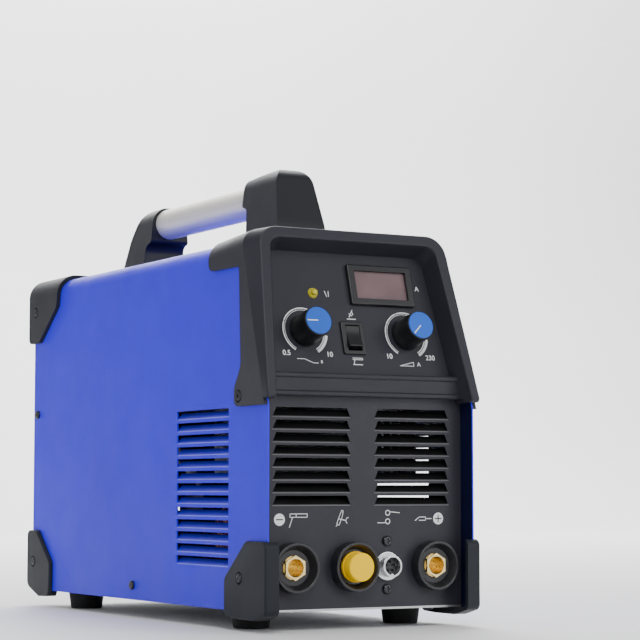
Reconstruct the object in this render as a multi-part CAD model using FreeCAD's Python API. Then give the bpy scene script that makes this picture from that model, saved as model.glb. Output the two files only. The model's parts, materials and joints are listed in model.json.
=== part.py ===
import FreeCAD, Part
import math
import os

V = FreeCAD.Vector

# A portable inverter welding machine for TIG and stick welding.
# +X is the machine's left-to-right direction seen from its front, +Y runs from front to rear and
# +Z is up. While it is built, Y is 0 at the cover's front edge and Z is 0 under the feet. At the
# end every piece is moved along Y so that the origin is the bottom centre of the whole machine.

# ---- driving dimensions, millimetres ---------------------------------------------------------

# case
CASE_WIDTH = 172.0          # outside of the cover
CASE_LENGTH = 436.0         # front edge to rear edge of the cover
CASE_HEIGHT = 267.0         # cover's bottom edge to its top
FOOT_HEIGHT = 14.0
COVER_SHEET = 1.2
COVER_CORNER = 13.0         # outer radius of the cover's two bends
PANEL_SHEET = 1.5           # tray, front panel, rear panel and shelf
FIT_GAP = 0.3               # between sheet parts that slide into each other
HOLE_GAP = 0.1              # radial, around screws and bushings

# pressed louvres in the cover's sides
LOUVRE_PITCH = 9.0
LOUVRE_OPENING = 6.6
LOUVRE_FRONT_Y = 60.0
LOUVRE_LENGTH = 86.0
LOUVRE_LOW_Z = 44.5
LOUVRE_BELOW_TOP = 119.0    # louvres stay this far below the cover's top
LOUVRE_LEAN = 36.0          # degrees, of a blade from the sheet it is pressed out of
LOUVRE_BLADE = 6.0

# front panel
PANEL_INSET = 15.0
PANEL_FLANGE = 18.0
VENT_PITCH = 9.0
VENT_OPENING = 7.6
VENT_LOW_Z = 88.3
VENT_INNER_X = 9.5
VENT_OUTER_INSET = 11.5     # outer end of the vents, from the cover's side
VENT_TAPER = 3.4            # how much narrower a vent is at its top, on each side
VENT_LEAN = 40.0
VENT_BLADE = 8.0

# hood: the moulding around the control panel
HOOD_TILT = 15.85           # degrees, its front plane leans back at the top
HOOD_DROP = 117.0           # its lower end, below the cover's top
HOOD_RISE = 9.0             # its upper edge, above the cover's top
HOOD_PROUD = 3.0            # how far it stands out beside the cover
BEZEL_DEPTH = 7.6           # from the front plane back to the cover's lower front corner
SEAM_TILT = 17.6            # degrees, the cover's front edge leans back a little more
SEAM_NARROWING = 2.1        # how much narrower the hood is where it meets the cover's top
SEAM_FALL = 1.6             # its top there lies this far below its front edge
SEAM_LIFT = 0.6             # its lower end rises this much towards the cover
RIM_LOW = 5.2               # width of the rim at its lower ends
RIM_HIGH = 7.6              # width of the rim beside its upper corners
RIM_TOP = 8.0               # width of the rim along its top
HOOD_NARROWING = 11.6       # how much narrower the front plane is at its top, on each side
HOOD_CORNER = 16.0
RECESS_CORNER = 9.0
RECESS_DEPTH = 16.5         # front plane to control panel
RECESS_DRAFT = 4.0
HOOD_WALL = 2.0
RIM_ROUND = 1.4
FLOOR_THICKNESS = 2.5
CHIN_HEIGHT = 16.7
CHIN_DEPTH = 7.0
CHIN_GAP = 2.0              # chin's top to the control panel's lower edge
WING_DROP = 4.5             # wings reach this far below the hood
BAND_REACH = 88.0           # the band across the cover's top ends here
BAND_DEPTH = 20.5           # how far the band comes down on the sides

# control panel, places are heights below the cover's top
DIAL_INSET = 43.0           # dial centre, from the cover's side
DIAL_BELOW_TOP = 66.5
KNOB_RADIUS = 12.2
KNOB_TIP_RADIUS = 11.0
KNOB_LENGTH = 22.0
KNOB_GAP = 1.0
CAP_RADIUS = 10.2
CAP_HEIGHT = 2.6
SHAFT_RADIUS = 3.0
RUNNING_GAP = 0.05
POT_RADIUS = 8.2
POT_DEPTH = 10.0
BUSHING_RADIUS = 3.5
MODE_X = -3.2
MODE_BELOW_TOP = 70.8
METER_X = 26.5
METER_BELOW_TOP = 30.6
METER_WIDTH = 55.0
METER_HEIGHT = 31.5
WINDOW_WIDTH = 44.0
WINDOW_HEIGHT = 22.0
LED_X = -31.5
LED_BELOW_TOP = 38.0
LED_RADIUS = 2.6

# sockets on the front panel
SOCKET_INSET = 27.2         # current socket's axis, from the cover's side
SOCKET_RISE = 31.0          # socket axes, above the cover's bottom edge
COLLAR_RADIUS = 17.9
COLLAR_REACH = 10.0
COLLAR_RIM = 2.0            # wall of the collar at its front
COLLAR_FLOOR = 3.6          # floor of its funnel, in front of the panel
COLLAR_FLOOR_RADIUS = 12.6
SOCKET_BORE = 6.5           # radius
INSERT_RADIUS = 8.6
HEX_RADIUS = 9.0
HEX_FRONT = 6.4             # front of the brass insert, in front of the panel
GAS_X = -9.3
GAS_CAP_RADIUS = 10.3
GAS_CAP_FRONT = 15.0
GAS_THREAD_RADIUS = 8.0
CONTROL_THREAD_RADIUS = 7.9
CONTROL_WASHER_RADIUS = 10.4
CONTROL_GAP = 1.0           # from the gas outlet's collar to the control socket's washer
CONTROL_SCREW_OFFSET = 17.3

# corner guards
GUARD_PROUD = 3.5
GUARD_FRONT_RETURN = 11.0
GUARD_REAR_RETURN = 8.0
GUARD_REAR_PROUD = 5.5
GUARD_DROP = 5.5

# feet
FOOT_RADIUS = 15.0
FOOT_TIP_RADIUS = 13.0
FOOT_INSET_X = 22.5
FOOT_INSET_Y = 67.0

# handle
TUBE_RADIUS = 13.0
TUBE_WALL = 1.8
TUBE_RISE = 48.3            # tube's axis, above the cover's top
TUBE_FRONT_Y = 148.0
FRONT_MOUNT_HALF = 23.5     # half widths of the two mounts where they stand on the cover
REAR_MOUNT_HALF = 20.5
MOUNT_TOP_HALF = 15.0
MOUNT_CORNER = 15.5         # radius of a mount's upper corners, seen from the front
FRONT_MOUNT_Y = 104.0
FRONT_MOUNT_HEAD = 7.3      # front mount's head, above the tube
REAR_MOUNT_HEAD = 1.5
REAR_MOUNT_INSET = 82.5     # rear mount's front face, from the cover's rear edge

# screws
SCREW_RADIUS = 1.9
SCREW_HEAD_RADIUS = 3.6
SCREW_HEAD = 2.2
SCREW_LENGTH = 7.0
POCKET_RADIUS = 4.6
POCKET_DEPTH = 1.6
HANDLE_SCREW_RADIUS = 3.0
MIDDLE_SCREW_SHARE = 0.517  # place of the cover's middle screw along its length
BASE_SCREW_INSET = 21.0     # screws up into the tray, from the cover's side

# rear panel
REAR_INSET = 4.0
REAR_FLANGE = 12.0
FAN_SIZE = 120.0
FAN_DEPTH = 38.0
FAN_BORE = 58.5
FAN_BLADES = 7
FAN_RISE = 16.0             # fan's lower side, above the cover's bottom edge
FAN_SCREW_OFFSET = 52.5
FAN_HUB = 19.5
FAN_SHAFT_RADIUS = 2.0
REAR_ROW_BELOW_TOP = 44.0   # power switch and cable gland, below the cover's top
POWER_SWITCH_X = -38.0
GLAND_X = 38.0
GLAND_BORE = 6.0
GAS_INLET_X = -72.0
GAS_BARB_RADIUS = 4.5
GROUND_X = 70.0
GROUND_RISE = 20.0
GROUND_RADIUS = 4.0

# inside
SHELF_RISE = 152.0
SHELF_FRONT_Y = 62.0
BOARD_STANDOFF = 8.0
BOARD_THICKNESS = 1.6
HOSE_RADIUS = 4.0
HOSE_END_BORE = 3.6
HOSE_BEND = 14.0

# ---- derived ---------------------------------------------------------------------------------

HALF = CASE_WIDTH / 2
INSIDE = HALF - COVER_SHEET
BOTTOM = FOOT_HEIGHT
TOP = BOTTOM + CASE_HEIGHT
UNDER_TOP = TOP - COVER_SHEET
TRAY_TOP = BOTTOM + PANEL_SHEET
HOOD_BOTTOM = TOP - HOOD_DROP
HOOD_TOP = TOP + HOOD_RISE
WING_BOTTOM = HOOD_BOTTOM - WING_DROP
SLOPE = math.tan(math.radians(HOOD_TILT))
LEAN = math.cos(math.radians(HOOD_TILT))
SOCKET_X = HALF - SOCKET_INSET
SOCKET_Z = BOTTOM + SOCKET_RISE
DIAL_X = HALF - DIAL_INSET
CONTROL_X = GAS_X + COLLAR_RADIUS + CONTROL_GAP + CONTROL_WASHER_RADIUS
REAR_PLATE_Y = CASE_LENGTH - REAR_INSET - PANEL_SHEET
FAN_Z = BOTTOM + FAN_RISE + FAN_SIZE / 2
REAR_ROW_Z = TOP - REAR_ROW_BELOW_TOP
TUBE_Z = TOP + TUBE_RISE
REAR_MOUNT_Y = CASE_LENGTH - REAR_MOUNT_INSET
TUBE_REAR_Y = REAR_MOUNT_Y + 1
SHELF_Z = BOTTOM + SHELF_RISE
BOARD_Z = SHELF_Z + PANEL_SHEET + BOARD_STANDOFF

parts = {}


# ---- helpers ---------------------------------------------------------------------------------

def box(x0, x1, y0, y1, z0, z1):
    return Part.makeBox(x1 - x0, y1 - y0, z1 - z0, V(x0, y0, z0))


def rod(radius, z0, z1, x=0.0, y=0.0):
    return Part.makeCylinder(radius, z1 - z0, V(x, y, z0))


def outline(points):
    """A closed wire through (a, b, radius) corners; each radius rounds its corner."""
    corners = []
    for index, (a, b, radius) in enumerate(points):
        here = V(a, b, 0)
        if radius <= 0:
            corners.append((here, here, None))
            continue
        before = V(*points[index - 1][:2], 0) - here
        after = V(*points[(index + 1) % len(points)][:2], 0) - here
        before.normalize()
        after.normalize()
        half_angle = before.getAngle(after) / 2
        reach = radius / math.tan(half_angle)
        inward = before + after
        inward.normalize()
        middle = here + inward * (radius / math.sin(half_angle) - radius)
        corners.append((here + before * reach, here + after * reach, middle))
    edges = []
    for index, (first, last, middle) in enumerate(corners):
        if middle is not None:
            edges.append(Part.Arc(first, middle, last).toShape())
        following = corners[(index + 1) % len(corners)][0]
        if (following - last).Length > 1e-6:
            edges.append(Part.LineSegment(last, following).toShape())
    return Part.Wire(edges)


def prism(points, z0, z1):
    """An outline in the XY plane, raised along Z."""
    face = Part.Face(outline(points))
    face.translate(V(0, 0, z0))
    return face.extrude(V(0, 0, z1 - z0))


def side_prism(points, x0, x1):
    """An outline of (y, z, radius) corners, raised along X."""
    shape = prism(points, 0, x1 - x0)
    shape.Placement = FreeCAD.Placement(V(x0, 0, 0), FreeCAD.Rotation(V(1, 1, 1), 120))
    return shape


def front_prism(points, y0, y1):
    """An outline of (x, z, radius) corners, raised along Y."""
    shape = prism(points, 0, y1 - y0)
    shape.Placement = FreeCAD.Placement(V(0, y1, 0), FreeCAD.Rotation(V(1, 0, 0), 90))
    return shape


def hexagon(radius, z0, z1, turn=0.0):
    corners = []
    for index in range(6):
        angle = math.radians(turn + 60 * index)
        corners.append((radius * math.cos(angle), radius * math.sin(angle), 0))
    return prism(corners, z0, z1)


def facing_front(x, y, z):
    """Local Z points to the machine's front, local Y up."""
    return FreeCAD.Placement(V(x, y, z), FreeCAD.Rotation(V(1, 0, 0), 90))


def facing_rear(x, y, z):
    """Local Z points to the machine's rear, local Y up."""
    turn = FreeCAD.Rotation(V(0, 0, 1), 180).multiply(FreeCAD.Rotation(V(1, 0, 0), 90))
    return FreeCAD.Placement(V(x, y, z), turn)


def facing_side(x, y, z):
    """Local Z points away from the machine's middle along X."""
    axis = V(0, 1, 0) if x > 0 else V(0, -1, 0)
    return FreeCAD.Placement(V(x, y, z), FreeCAD.Rotation(axis, 90))


def facing_down(x, y, z):
    return FreeCAD.Placement(V(x, y, z), FreeCAD.Rotation(V(1, 0, 0), 180))


def hood_y(z, depth):
    """Y of the plane that lies this deep behind the hood's leaning front plane."""
    return (z - WING_BOTTOM) * SLOPE + (depth - BEZEL_DEPTH) / LEAN


def on_hood(x, z, depth):
    """Local Z points out of the hood's leaning plane, local Y up along it."""
    turn = FreeCAD.Rotation(V(1, 0, 0), 90 - HOOD_TILT)
    return FreeCAD.Placement(V(x, hood_y(z, depth), z), turn)


def placed(shape, placement):
    copy = shape.copy()
    copy.Placement = placement.multiply(copy.Placement)
    return copy


def fused(first, *others):
    return first.fuse(list(others)).removeSplitter()


def mirrored(shape):
    return shape.mirror(V(0, 0, 0), V(1, 0, 0))


def rounded(shape, radius, chosen):
    """Rounds the edges whose every vertex the test accepts."""
    edges = [edge for edge in shape.Edges if all(chosen(vertex.Point) for vertex in edge.Vertexes)]
    return shape.makeFillet(radius, edges)


# ---- screws ----------------------------------------------------------------------------------

def screw(length=SCREW_LENGTH):
    """A cross-recessed pan-head screw; its head rests on local Z = 0."""
    head = rod(SCREW_HEAD_RADIUS, 0, SCREW_HEAD)
    head = rounded(head, 1.2, lambda point: point.z > SCREW_HEAD - 0.01)
    slot = box(-1.9, 1.9, -0.4, 0.4, SCREW_HEAD - 1.0, SCREW_HEAD + 1)
    cross = box(-0.4, 0.4, -1.9, 1.9, SCREW_HEAD - 1.0, SCREW_HEAD + 1)
    return fused(head, rod(SCREW_RADIUS, -length, 0)).cut([slot, cross])


def screw_hole():
    return rod(SCREW_RADIUS + HOLE_GAP, -20, 20)


GUARD_SEAT = HALF + GUARD_PROUD - POCKET_DEPTH
WING_SEAT = HALF + HOOD_PROUD - POCKET_DEPTH
REAR_SCREW_Y = CASE_LENGTH - 9.5
WING_SCREW = (39.3, HOOD_BOTTOM + 2.9)
FRONT_GUARD_SCREW = (36.9, BOTTOM + 23.6)
REAR_GUARD_SCREW = (REAR_SCREW_Y, BOTTOM + 24.1)
UPPER_GUARD_SCREW = (REAR_SCREW_Y, TOP - 26.0)
COVER_SCREWS = [(REAR_SCREW_Y, TOP - 115.6), (MIDDLE_SCREW_SHARE * CASE_LENGTH, BOTTOM + 11.3)]
BASE_SCREWS = [(-HALF + BASE_SCREW_INSET, 30.0), (HALF - BASE_SCREW_INSET, 30.0)]


def side_screw_places():
    """Where each side screw's head rests, with the surface it rests on."""
    places = []
    for side in (-1, 1):
        for y, z in COVER_SCREWS:
            places.append(facing_side(side * HALF, y, z))
        places.append(facing_side(side * WING_SEAT, *WING_SCREW))
        for spot in (FRONT_GUARD_SCREW, REAR_GUARD_SCREW, UPPER_GUARD_SCREW):
            places.append(facing_side(side * GUARD_SEAT, *spot))
    return places


side_places = side_screw_places()
base_places = [facing_down(x, y, BOTTOM) for x, y in BASE_SCREWS]
side_holes = [placed(screw_hole(), place) for place in side_places]
base_holes = [placed(screw_hole(), place) for place in base_places]


# ---- cover -----------------------------------------------------------------------------------

def case_prism(inset, y0, y1, low):
    """The cover's outline, drawn in by an inset, from a low edge up."""
    half = HALF - inset
    corner = COVER_CORNER - inset
    points = [(-half, low, 0), (half, low, 0), (half, TOP - inset, corner), (-half, TOP - inset, corner)]
    return front_prism(points, y0, y1)


def seam_y(z):
    """Y of the leaning plane where the cover ends and the hood starts."""
    return (z - WING_BOTTOM) * math.tan(math.radians(SEAM_TILT))


def ahead_of_seam(low):
    high = HOOD_TOP + 40
    points = [(-80, low, 0), (seam_y(low), low, 0), (seam_y(high), high, 0), (-80, high, 0)]
    return side_prism(points, -2 * HALF, 2 * HALF)


def side_louvres():
    """The openings and the blades of one side of the cover, on the +X side."""
    count = int((TOP - LOUVRE_BELOW_TOP - LOUVRE_LOW_Z) / LOUVRE_PITCH)
    y0 = LOUVRE_FRONT_Y
    y1 = LOUVRE_FRONT_Y + LOUVRE_LENGTH
    openings = []
    blades = []
    for row in range(count):
        z = LOUVRE_LOW_Z + row * LOUVRE_PITCH
        openings.append(box(INSIDE - 1, HALF + 1, y0, y1, z, z + LOUVRE_OPENING))
        blade = box(-COVER_SHEET, 0, y0 + 0.4, y1 - 0.4, -COVER_SHEET, LOUVRE_BLADE)
        blade.rotate(V(0, 0, 0), V(0, 1, 0), -LOUVRE_LEAN)
        blade.translate(V(HALF - 0.05, 0, z + 0.05))
        blades.append(blade.common(box(0, HALF, y0, y1, z - 0.6, z + LOUVRE_OPENING)))
    return openings, blades


def make_cover():
    shell = case_prism(0, 0, CASE_LENGTH, BOTTOM)
    shell = shell.cut(case_prism(COVER_SHEET, -1, CASE_LENGTH + 1, BOTTOM - 1))
    shell = shell.cut(ahead_of_seam(WING_BOTTOM))
    openings, blades = side_louvres()
    openings += [mirrored(shape) for shape in openings]
    blades += [mirrored(shape) for shape in blades]
    shell = shell.cut(openings + side_holes + handle_holes())
    return fused(shell, *blades)


# ---- tray, shelf, feet -----------------------------------------------------------------------

TRAY_FRONT_Y = PANEL_INSET
TRAY_REAR_Y = REAR_PLATE_Y + PANEL_SHEET
TRAY_FLANGE = 20.0


def foot_places():
    places = []
    for x in (-HALF + FOOT_INSET_X, HALF - FOOT_INSET_X):
        for y in (FOOT_INSET_Y, CASE_LENGTH - FOOT_INSET_Y):
            places.append((x, y))
    return places


def make_base_tray():
    side = INSIDE - FIT_GAP
    tray = box(-side, side, TRAY_FRONT_Y, TRAY_REAR_Y, BOTTOM, TRAY_TOP)
    flange_y0 = PANEL_INSET + PANEL_SHEET + 1
    flange_y1 = REAR_PLATE_Y - REAR_FLANGE - 2
    for edge in (-side, side - PANEL_SHEET):
        tray = tray.fuse(box(edge, edge + PANEL_SHEET, flange_y0, flange_y1, BOTTOM, BOTTOM + TRAY_FLANGE))
    foot_holes = [rod(SCREW_RADIUS + HOLE_GAP, BOTTOM - 1, TRAY_TOP + 1, x, y) for x, y in foot_places()]
    return tray.removeSplitter().cut(side_holes + base_holes + foot_holes)


def make_feet():
    feet = []
    for x, y in foot_places():
        foot = Part.makeCone(FOOT_TIP_RADIUS, FOOT_RADIUS, FOOT_HEIGHT, V(x, y, 0))
        foot = rounded(foot, 1.2, lambda point: point.z < 0.01)
        pocket = rod(5.0, -1, FOOT_HEIGHT - 5, x, y)
        feet.append(foot.cut([pocket, rod(SCREW_RADIUS, 0, FOOT_HEIGHT + 1, x, y)]))
    return Part.makeCompound(feet)


def make_inner_shelf():
    side = INSIDE - FIT_GAP
    rear = REAR_PLATE_Y - REAR_FLANGE - 2
    shelf = box(-side, side, SHELF_FRONT_Y, rear, SHELF_Z, SHELF_Z + PANEL_SHEET)
    for edge in (-side, side - PANEL_SHEET):
        y0 = LOUVRE_FRONT_Y + LOUVRE_LENGTH + 5
        shelf = shelf.fuse(box(edge, edge + PANEL_SHEET, y0, rear, SHELF_Z - 12, SHELF_Z + PANEL_SHEET))
    return shelf.removeSplitter().cut(side_holes)


# ---- front panel -----------------------------------------------------------------------------

def vent_group(side):
    """Openings and blades of one group of vents; side is -1 or 1."""
    count = int((HOOD_BOTTOM - 3 - VENT_LOW_Z) / VENT_PITCH)
    outer = HALF - VENT_OUTER_INSET
    openings = []
    blades = []
    for row in range(count):
        z = VENT_LOW_Z + row * VENT_PITCH
        corners = [(side * VENT_INNER_X, z, 0), (side * outer, z, 0)]
        corners.append((side * (outer - VENT_TAPER), z + VENT_OPENING, 0))
        corners.append((side * (VENT_INNER_X + VENT_TAPER), z + VENT_OPENING, 0))
        openings.append(front_prism(corners, PANEL_INSET - 1, PANEL_INSET + PANEL_SHEET + 1))
        low = min(side * VENT_INNER_X, side * outer) + 0.3
        high = max(side * VENT_INNER_X, side * outer) - 0.3
        blade = box(low, high, 0, 1.0, -1.0, VENT_BLADE)
        blade.rotate(V(0, 0, 0), V(1, 0, 0), -VENT_LEAN)
        blade.translate(V(0, PANEL_INSET + 0.05, z + 0.05))
        keep = box(low, high, PANEL_INSET, PANEL_INSET + 12, z - 0.6, z + VENT_OPENING)
        blades.append(blade.common(keep))
    return openings, blades


def front_panel_holes():
    """Round holes for what is mounted on the front panel."""
    holes = []
    for x in (-SOCKET_X, SOCKET_X, GAS_X):
        holes.append(placed(rod(SOCKET_BARREL + HOLE_GAP, -5, 5), facing_front(x, PANEL_INSET, SOCKET_Z)))
    shell = rod(CONTROL_THREAD_RADIUS + HOLE_GAP, -5, 5)
    holes.append(placed(shell, facing_front(CONTROL_X, PANEL_INSET, SOCKET_Z)))
    holes += [placed(screw_hole(), place) for place in control_screw_places()]
    return holes


def make_front_panel():
    side = INSIDE - FIT_GAP
    y0 = PANEL_INSET
    y1 = PANEL_INSET + PANEL_SHEET
    panel = box(-side, side, y0, y1, TRAY_TOP, HOOD_BOTTOM + CHIN_HEIGHT + CHIN_GAP)
    panel = panel.fuse(box(-side + 6, side - 6, y0, y0 + PANEL_FLANGE, TRAY_TOP, TRAY_TOP + PANEL_SHEET))
    for edge in (-side, side - PANEL_SHEET):
        low = BOTTOM + TRAY_FLANGE + 2
        panel = panel.fuse(box(edge, edge + PANEL_SHEET, y0, y0 + PANEL_FLANGE, low, WING_BOTTOM - 2))
    openings = []
    blades = []
    for sign in (-1, 1):
        group_openings, group_blades = vent_group(sign)
        openings += group_openings
        blades += group_blades
    panel = panel.removeSplitter().cut(openings + front_panel_holes() + base_holes + side_holes)
    return fused(panel, *blades)


# ---- hood ------------------------------------------------------------------------------------

RIM_LENGTH = (HOOD_TOP - HOOD_BOTTOM) / LEAN
HOOD_HALF = HALF + HOOD_PROUD


def hood_outline(half_low, half_high, low, high, corner, depth):
    """A wire of the hood's shape in the leaning plane this deep; low and high run along that plane."""
    points = [(-half_low, low, 0), (half_low, low, 0)]
    points += [(half_high, high, corner), (-half_high, high, corner)]
    wire = outline(points)
    place = on_hood(0, HOOD_BOTTOM, 0)
    place = place.multiply(FreeCAD.Placement(V(0, 0, -depth), FreeCAD.Rotation()))
    wire.Placement = place
    return wire


def seam_outline(below):
    """The wire where hood and band meet; it starts this far below the hood's lower end."""
    length = (HOOD_TOP - SEAM_FALL - HOOD_BOTTOM) / math.cos(math.radians(SEAM_TILT))
    half_low = HOOD_HALF + SEAM_NARROWING * below / length
    half_high = HOOD_HALF - SEAM_NARROWING
    points = [(-half_low, -below, 0), (half_low, -below, 0)]
    points += [(half_high, length, HOOD_CORNER), (-half_high, length, HOOD_CORNER)]
    wire = outline(points)
    turn = FreeCAD.Rotation(V(1, 0, 0), 90 - SEAM_TILT)
    wire.Placement = FreeCAD.Placement(V(0, seam_y(HOOD_BOTTOM), HOOD_BOTTOM), turn)
    return wire


def recess_outline(depth, grow, low):
    """The control recess's wire at a depth; grow widens it by a wall."""
    drawn_in = RECESS_DRAFT * depth / RECESS_DEPTH
    half_low = HOOD_HALF - RIM_LOW - drawn_in + grow
    half_high = HOOD_HALF - HOOD_NARROWING - RIM_HIGH - drawn_in + grow
    high = RIM_LENGTH - RIM_TOP - drawn_in + grow
    return hood_outline(half_low, half_high, low, high, RECESS_CORNER + grow, depth)


def control_floor_hole(shape, x, below_top):
    return placed(shape, on_hood(x, TOP - below_top, RECESS_DEPTH))


def hood_side_view():
    """The hood's outline from the side, with rounded lower front corners."""
    high = HOOD_TOP + 40
    points = [
        (hood_y(HOOD_BOTTOM, 0), HOOD_BOTTOM, 3.5), (90, HOOD_BOTTOM, 0), (90, high, 0),
        (hood_y(high, 0), high, 0),
    ]
    return side_prism(points, -2 * HALF, 2 * HALF)


def on_rim_face(point):
    return abs(point.y - hood_y(point.z, 0)) < 0.01


def make_front_hood():
    rim = hood_outline(HOOD_HALF, HOOD_HALF - HOOD_NARROWING, 0, RIM_LENGTH, HOOD_CORNER, 0)
    hood = Part.makeLoft([rim, seam_outline(-SEAM_LIFT)], True, True)
    back = RECESS_DEPTH + FLOOR_THICKNESS
    tub_front = recess_outline(BEZEL_DEPTH, HOOD_WALL, 3)
    tub = Part.makeLoft([tub_front, recess_outline(back, HOOD_WALL, 3)], True, True)
    tub = tub.common(case_prism(COVER_SHEET + FIT_GAP, -20, 120, BOTTOM))
    hood = hood.fuse(tub)
    recess = Part.makeLoft([recess_outline(-1, 0, -15), recess_outline(RECESS_DEPTH, 0, -15)], True, True)
    hood = hood.cut(recess)
    panel_top = HOOD_BOTTOM + CHIN_HEIGHT + CHIN_GAP
    hood = hood.cut(box(-HALF, HALF, PANEL_INSET, PANEL_INSET + 30, HOOD_BOTTOM - 10, panel_top))
    inner = HOOD_HALF - RIM_LOW - RECESS_DRAFT
    hood = hood.cut(box(-inner, inner, 2, PANEL_INSET + 1, HOOD_BOTTOM - 10, HOOD_BOTTOM + 3))
    hood = hood.fuse(make_chin(inner + 1.5)).common(hood_side_view()).removeSplitter()
    hood = rounded(hood, RIM_ROUND, on_rim_face)
    holes = []
    for x in (-DIAL_X, DIAL_X):
        holes.append(control_floor_hole(rod(BUSHING_RADIUS + HOLE_GAP, -6, 1), x, DIAL_BELOW_TOP))
    holes.append(control_floor_hole(switch_cutout(MODE_SWITCH), MODE_X, MODE_BELOW_TOP))
    meter = box(-METER_BODY_X - HOLE_GAP, METER_BODY_X + HOLE_GAP, -METER_BODY_Y - HOLE_GAP,
                METER_BODY_Y + HOLE_GAP, -6, 1)
    holes.append(control_floor_hole(meter, METER_X, METER_BELOW_TOP))
    holes.append(control_floor_hole(rod(LED_RADIUS + HOLE_GAP, -6, 1), LED_X, LED_BELOW_TOP))
    return hood.cut(holes)


def make_chin(half_length):
    """The bar between the control panel and the vents, with a lip along each edge."""
    low = HOOD_BOTTOM + 3
    high = low + CHIN_HEIGHT
    face = PANEL_INSET - CHIN_DEPTH
    rear = hood_y(high, RECESS_DEPTH) + FLOOR_THICKNESS
    points = [
        (PANEL_INSET, low, 0), (face, low, 1.2), (face, low + 2.8, 0.8), (face + 1.2, low + 3.8, 0.8),
        (face + 1.2, high - 4.2, 0.8), (face, high - 3.2, 0.8), (face, high, 1.8), (rear, high, 0),
        (rear, high - 1, 0), (PANEL_INSET, high - 1, 0),
    ]
    return side_prism(points, -half_length, half_length)


def make_hood_band():
    """Wings and top band, a shell that clips over the cover behind the hood."""
    half = HOOD_HALF
    bottom = WING_BOTTOM - 20
    rear_points = [(-half, bottom, 0), (half, bottom, 0)]
    rear_points.append((half, TOP + HOOD_PROUD, COVER_CORNER + HOOD_PROUD))
    rear_points.append((-half, TOP + HOOD_PROUD, COVER_CORNER + HOOD_PROUD))
    rear = outline(rear_points)
    rear.Placement = facing_front(0, BAND_REACH, 0)
    band = Part.makeLoft([seam_outline(20), rear], True, True)
    band = band.cut(case_prism(0, -40, BAND_REACH + 1, bottom - 1))
    low_z = TOP - BAND_DEPTH
    sides = [
        (-20, WING_BOTTOM, 0), (46.5, WING_BOTTOM, 6), (46.5, WING_BOTTOM + 13, 7),
        (36.5, WING_BOTTOM + 29, 12), (41.5, low_z, 3), (BAND_REACH, low_z, 6),
        (BAND_REACH, HOOD_TOP + 20, 0), (-20, HOOD_TOP + 20, 0),
    ]
    band = band.common(side_prism(sides, -HALF - 10, HALF + 10))
    pockets = []
    for side in (-1, 1):
        pockets.append(placed(rod(POCKET_RADIUS, 0, 6), facing_side(side * WING_SEAT, *WING_SCREW)))
    return band.cut(side_holes + pockets)


# ---- rear panel ------------------------------------------------------------------------------

def fan_slots():
    """Rings of slots in front of the fan, each ring broken by four bridges."""
    slots = []
    for index in range(5):
        inner = 10.0 + 9.6 * index
        ring = rod(inner + 6.0, -5, 5).cut(rod(inner, -6, 6))
        bridge = 6.0 + index
        turn = 45.0 if index % 2 else 0.0
        for angle in (turn, turn + 90):
            bar = box(-80, 80, -bridge / 2, bridge / 2, -6, 6)
            bar.rotate(V(0, 0, 0), V(0, 0, 1), angle)
            ring = ring.cut(bar)
        slots.append(placed(ring, facing_rear(0, REAR_PLATE_Y, FAN_Z)))
    return slots


def fan_screw_places():
    places = []
    for dx in (-FAN_SCREW_OFFSET, FAN_SCREW_OFFSET):
        for dz in (-FAN_SCREW_OFFSET, FAN_SCREW_OFFSET):
            places.append(facing_rear(dx, REAR_PLATE_Y + PANEL_SHEET, FAN_Z + dz))
    return places


def make_rear_panel():
    gap = COVER_SHEET + FIT_GAP
    panel = case_prism(gap, REAR_PLATE_Y, REAR_PLATE_Y + PANEL_SHEET, TRAY_TOP)
    hoop = case_prism(gap, REAR_PLATE_Y - REAR_FLANGE, REAR_PLATE_Y + PANEL_SHEET, TRAY_TOP)
    hollow = case_prism(gap + PANEL_SHEET, REAR_PLATE_Y - REAR_FLANGE - 1, REAR_PLATE_Y, TRAY_TOP - 1)
    panel = panel.fuse(hoop.cut(hollow)).removeSplitter()
    rear_face = REAR_PLATE_Y + PANEL_SHEET
    holes = fan_slots() + side_holes
    holes.append(placed(switch_cutout(POWER_SWITCH), facing_rear(POWER_SWITCH_X, rear_face, REAR_ROW_Z)))
    holes.append(placed(rod(GLAND_BODY + HOLE_GAP, -5, 5), facing_rear(GLAND_X, rear_face, REAR_ROW_Z)))
    holes.append(placed(rod(INLET_BODY + HOLE_GAP, -5, 5), facing_rear(GAS_INLET_X, rear_face, SOCKET_Z)))
    stud = rod(GROUND_RADIUS + HOLE_GAP, -5, 5)
    holes.append(placed(stud, facing_rear(GROUND_X, rear_face, BOTTOM + GROUND_RISE)))
    holes += [placed(screw_hole(), place) for place in fan_screw_places()]
    return panel.cut(holes)


# ---- corner guards ---------------------------------------------------------------------------

def guard(points, x_inner):
    """A corner guard on the +X side: a slab cut out around the case."""
    slab = side_prism(points, x_inner, HALF + GUARD_PROUD)
    slab = slab.cut(box(-2 * HALF, HALF, 0, CASE_LENGTH, BOTTOM, TOP))
    return slab


def finish_guard(shape, screw_spot):
    shape = rounded(shape, 1.6, lambda point: point.x > HALF + GUARD_PROUD - 0.01)
    pocket = placed(rod(POCKET_RADIUS, 0, 6), facing_side(GUARD_SEAT, *screw_spot))
    return shape.cut([pocket, placed(screw_hole(), facing_side(GUARD_SEAT, *screw_spot))])


def make_front_lower_guard():
    front = -GUARD_PROUD
    points = [
        (front, BOTTOM + 50, 5), (28, BOTTOM + 50, 7), (61, BOTTOM + 23, 7),
        (61, BOTTOM - GUARD_DROP + 1, 5), (41, BOTTOM - GUARD_DROP, 6),
        (15, BOTTOM - GUARD_DROP, 8), (front, BOTTOM - 1, 5),
    ]
    shape = guard(points, HALF + GUARD_PROUD - GUARD_FRONT_RETURN)
    return finish_guard(shape, FRONT_GUARD_SCREW)


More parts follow.
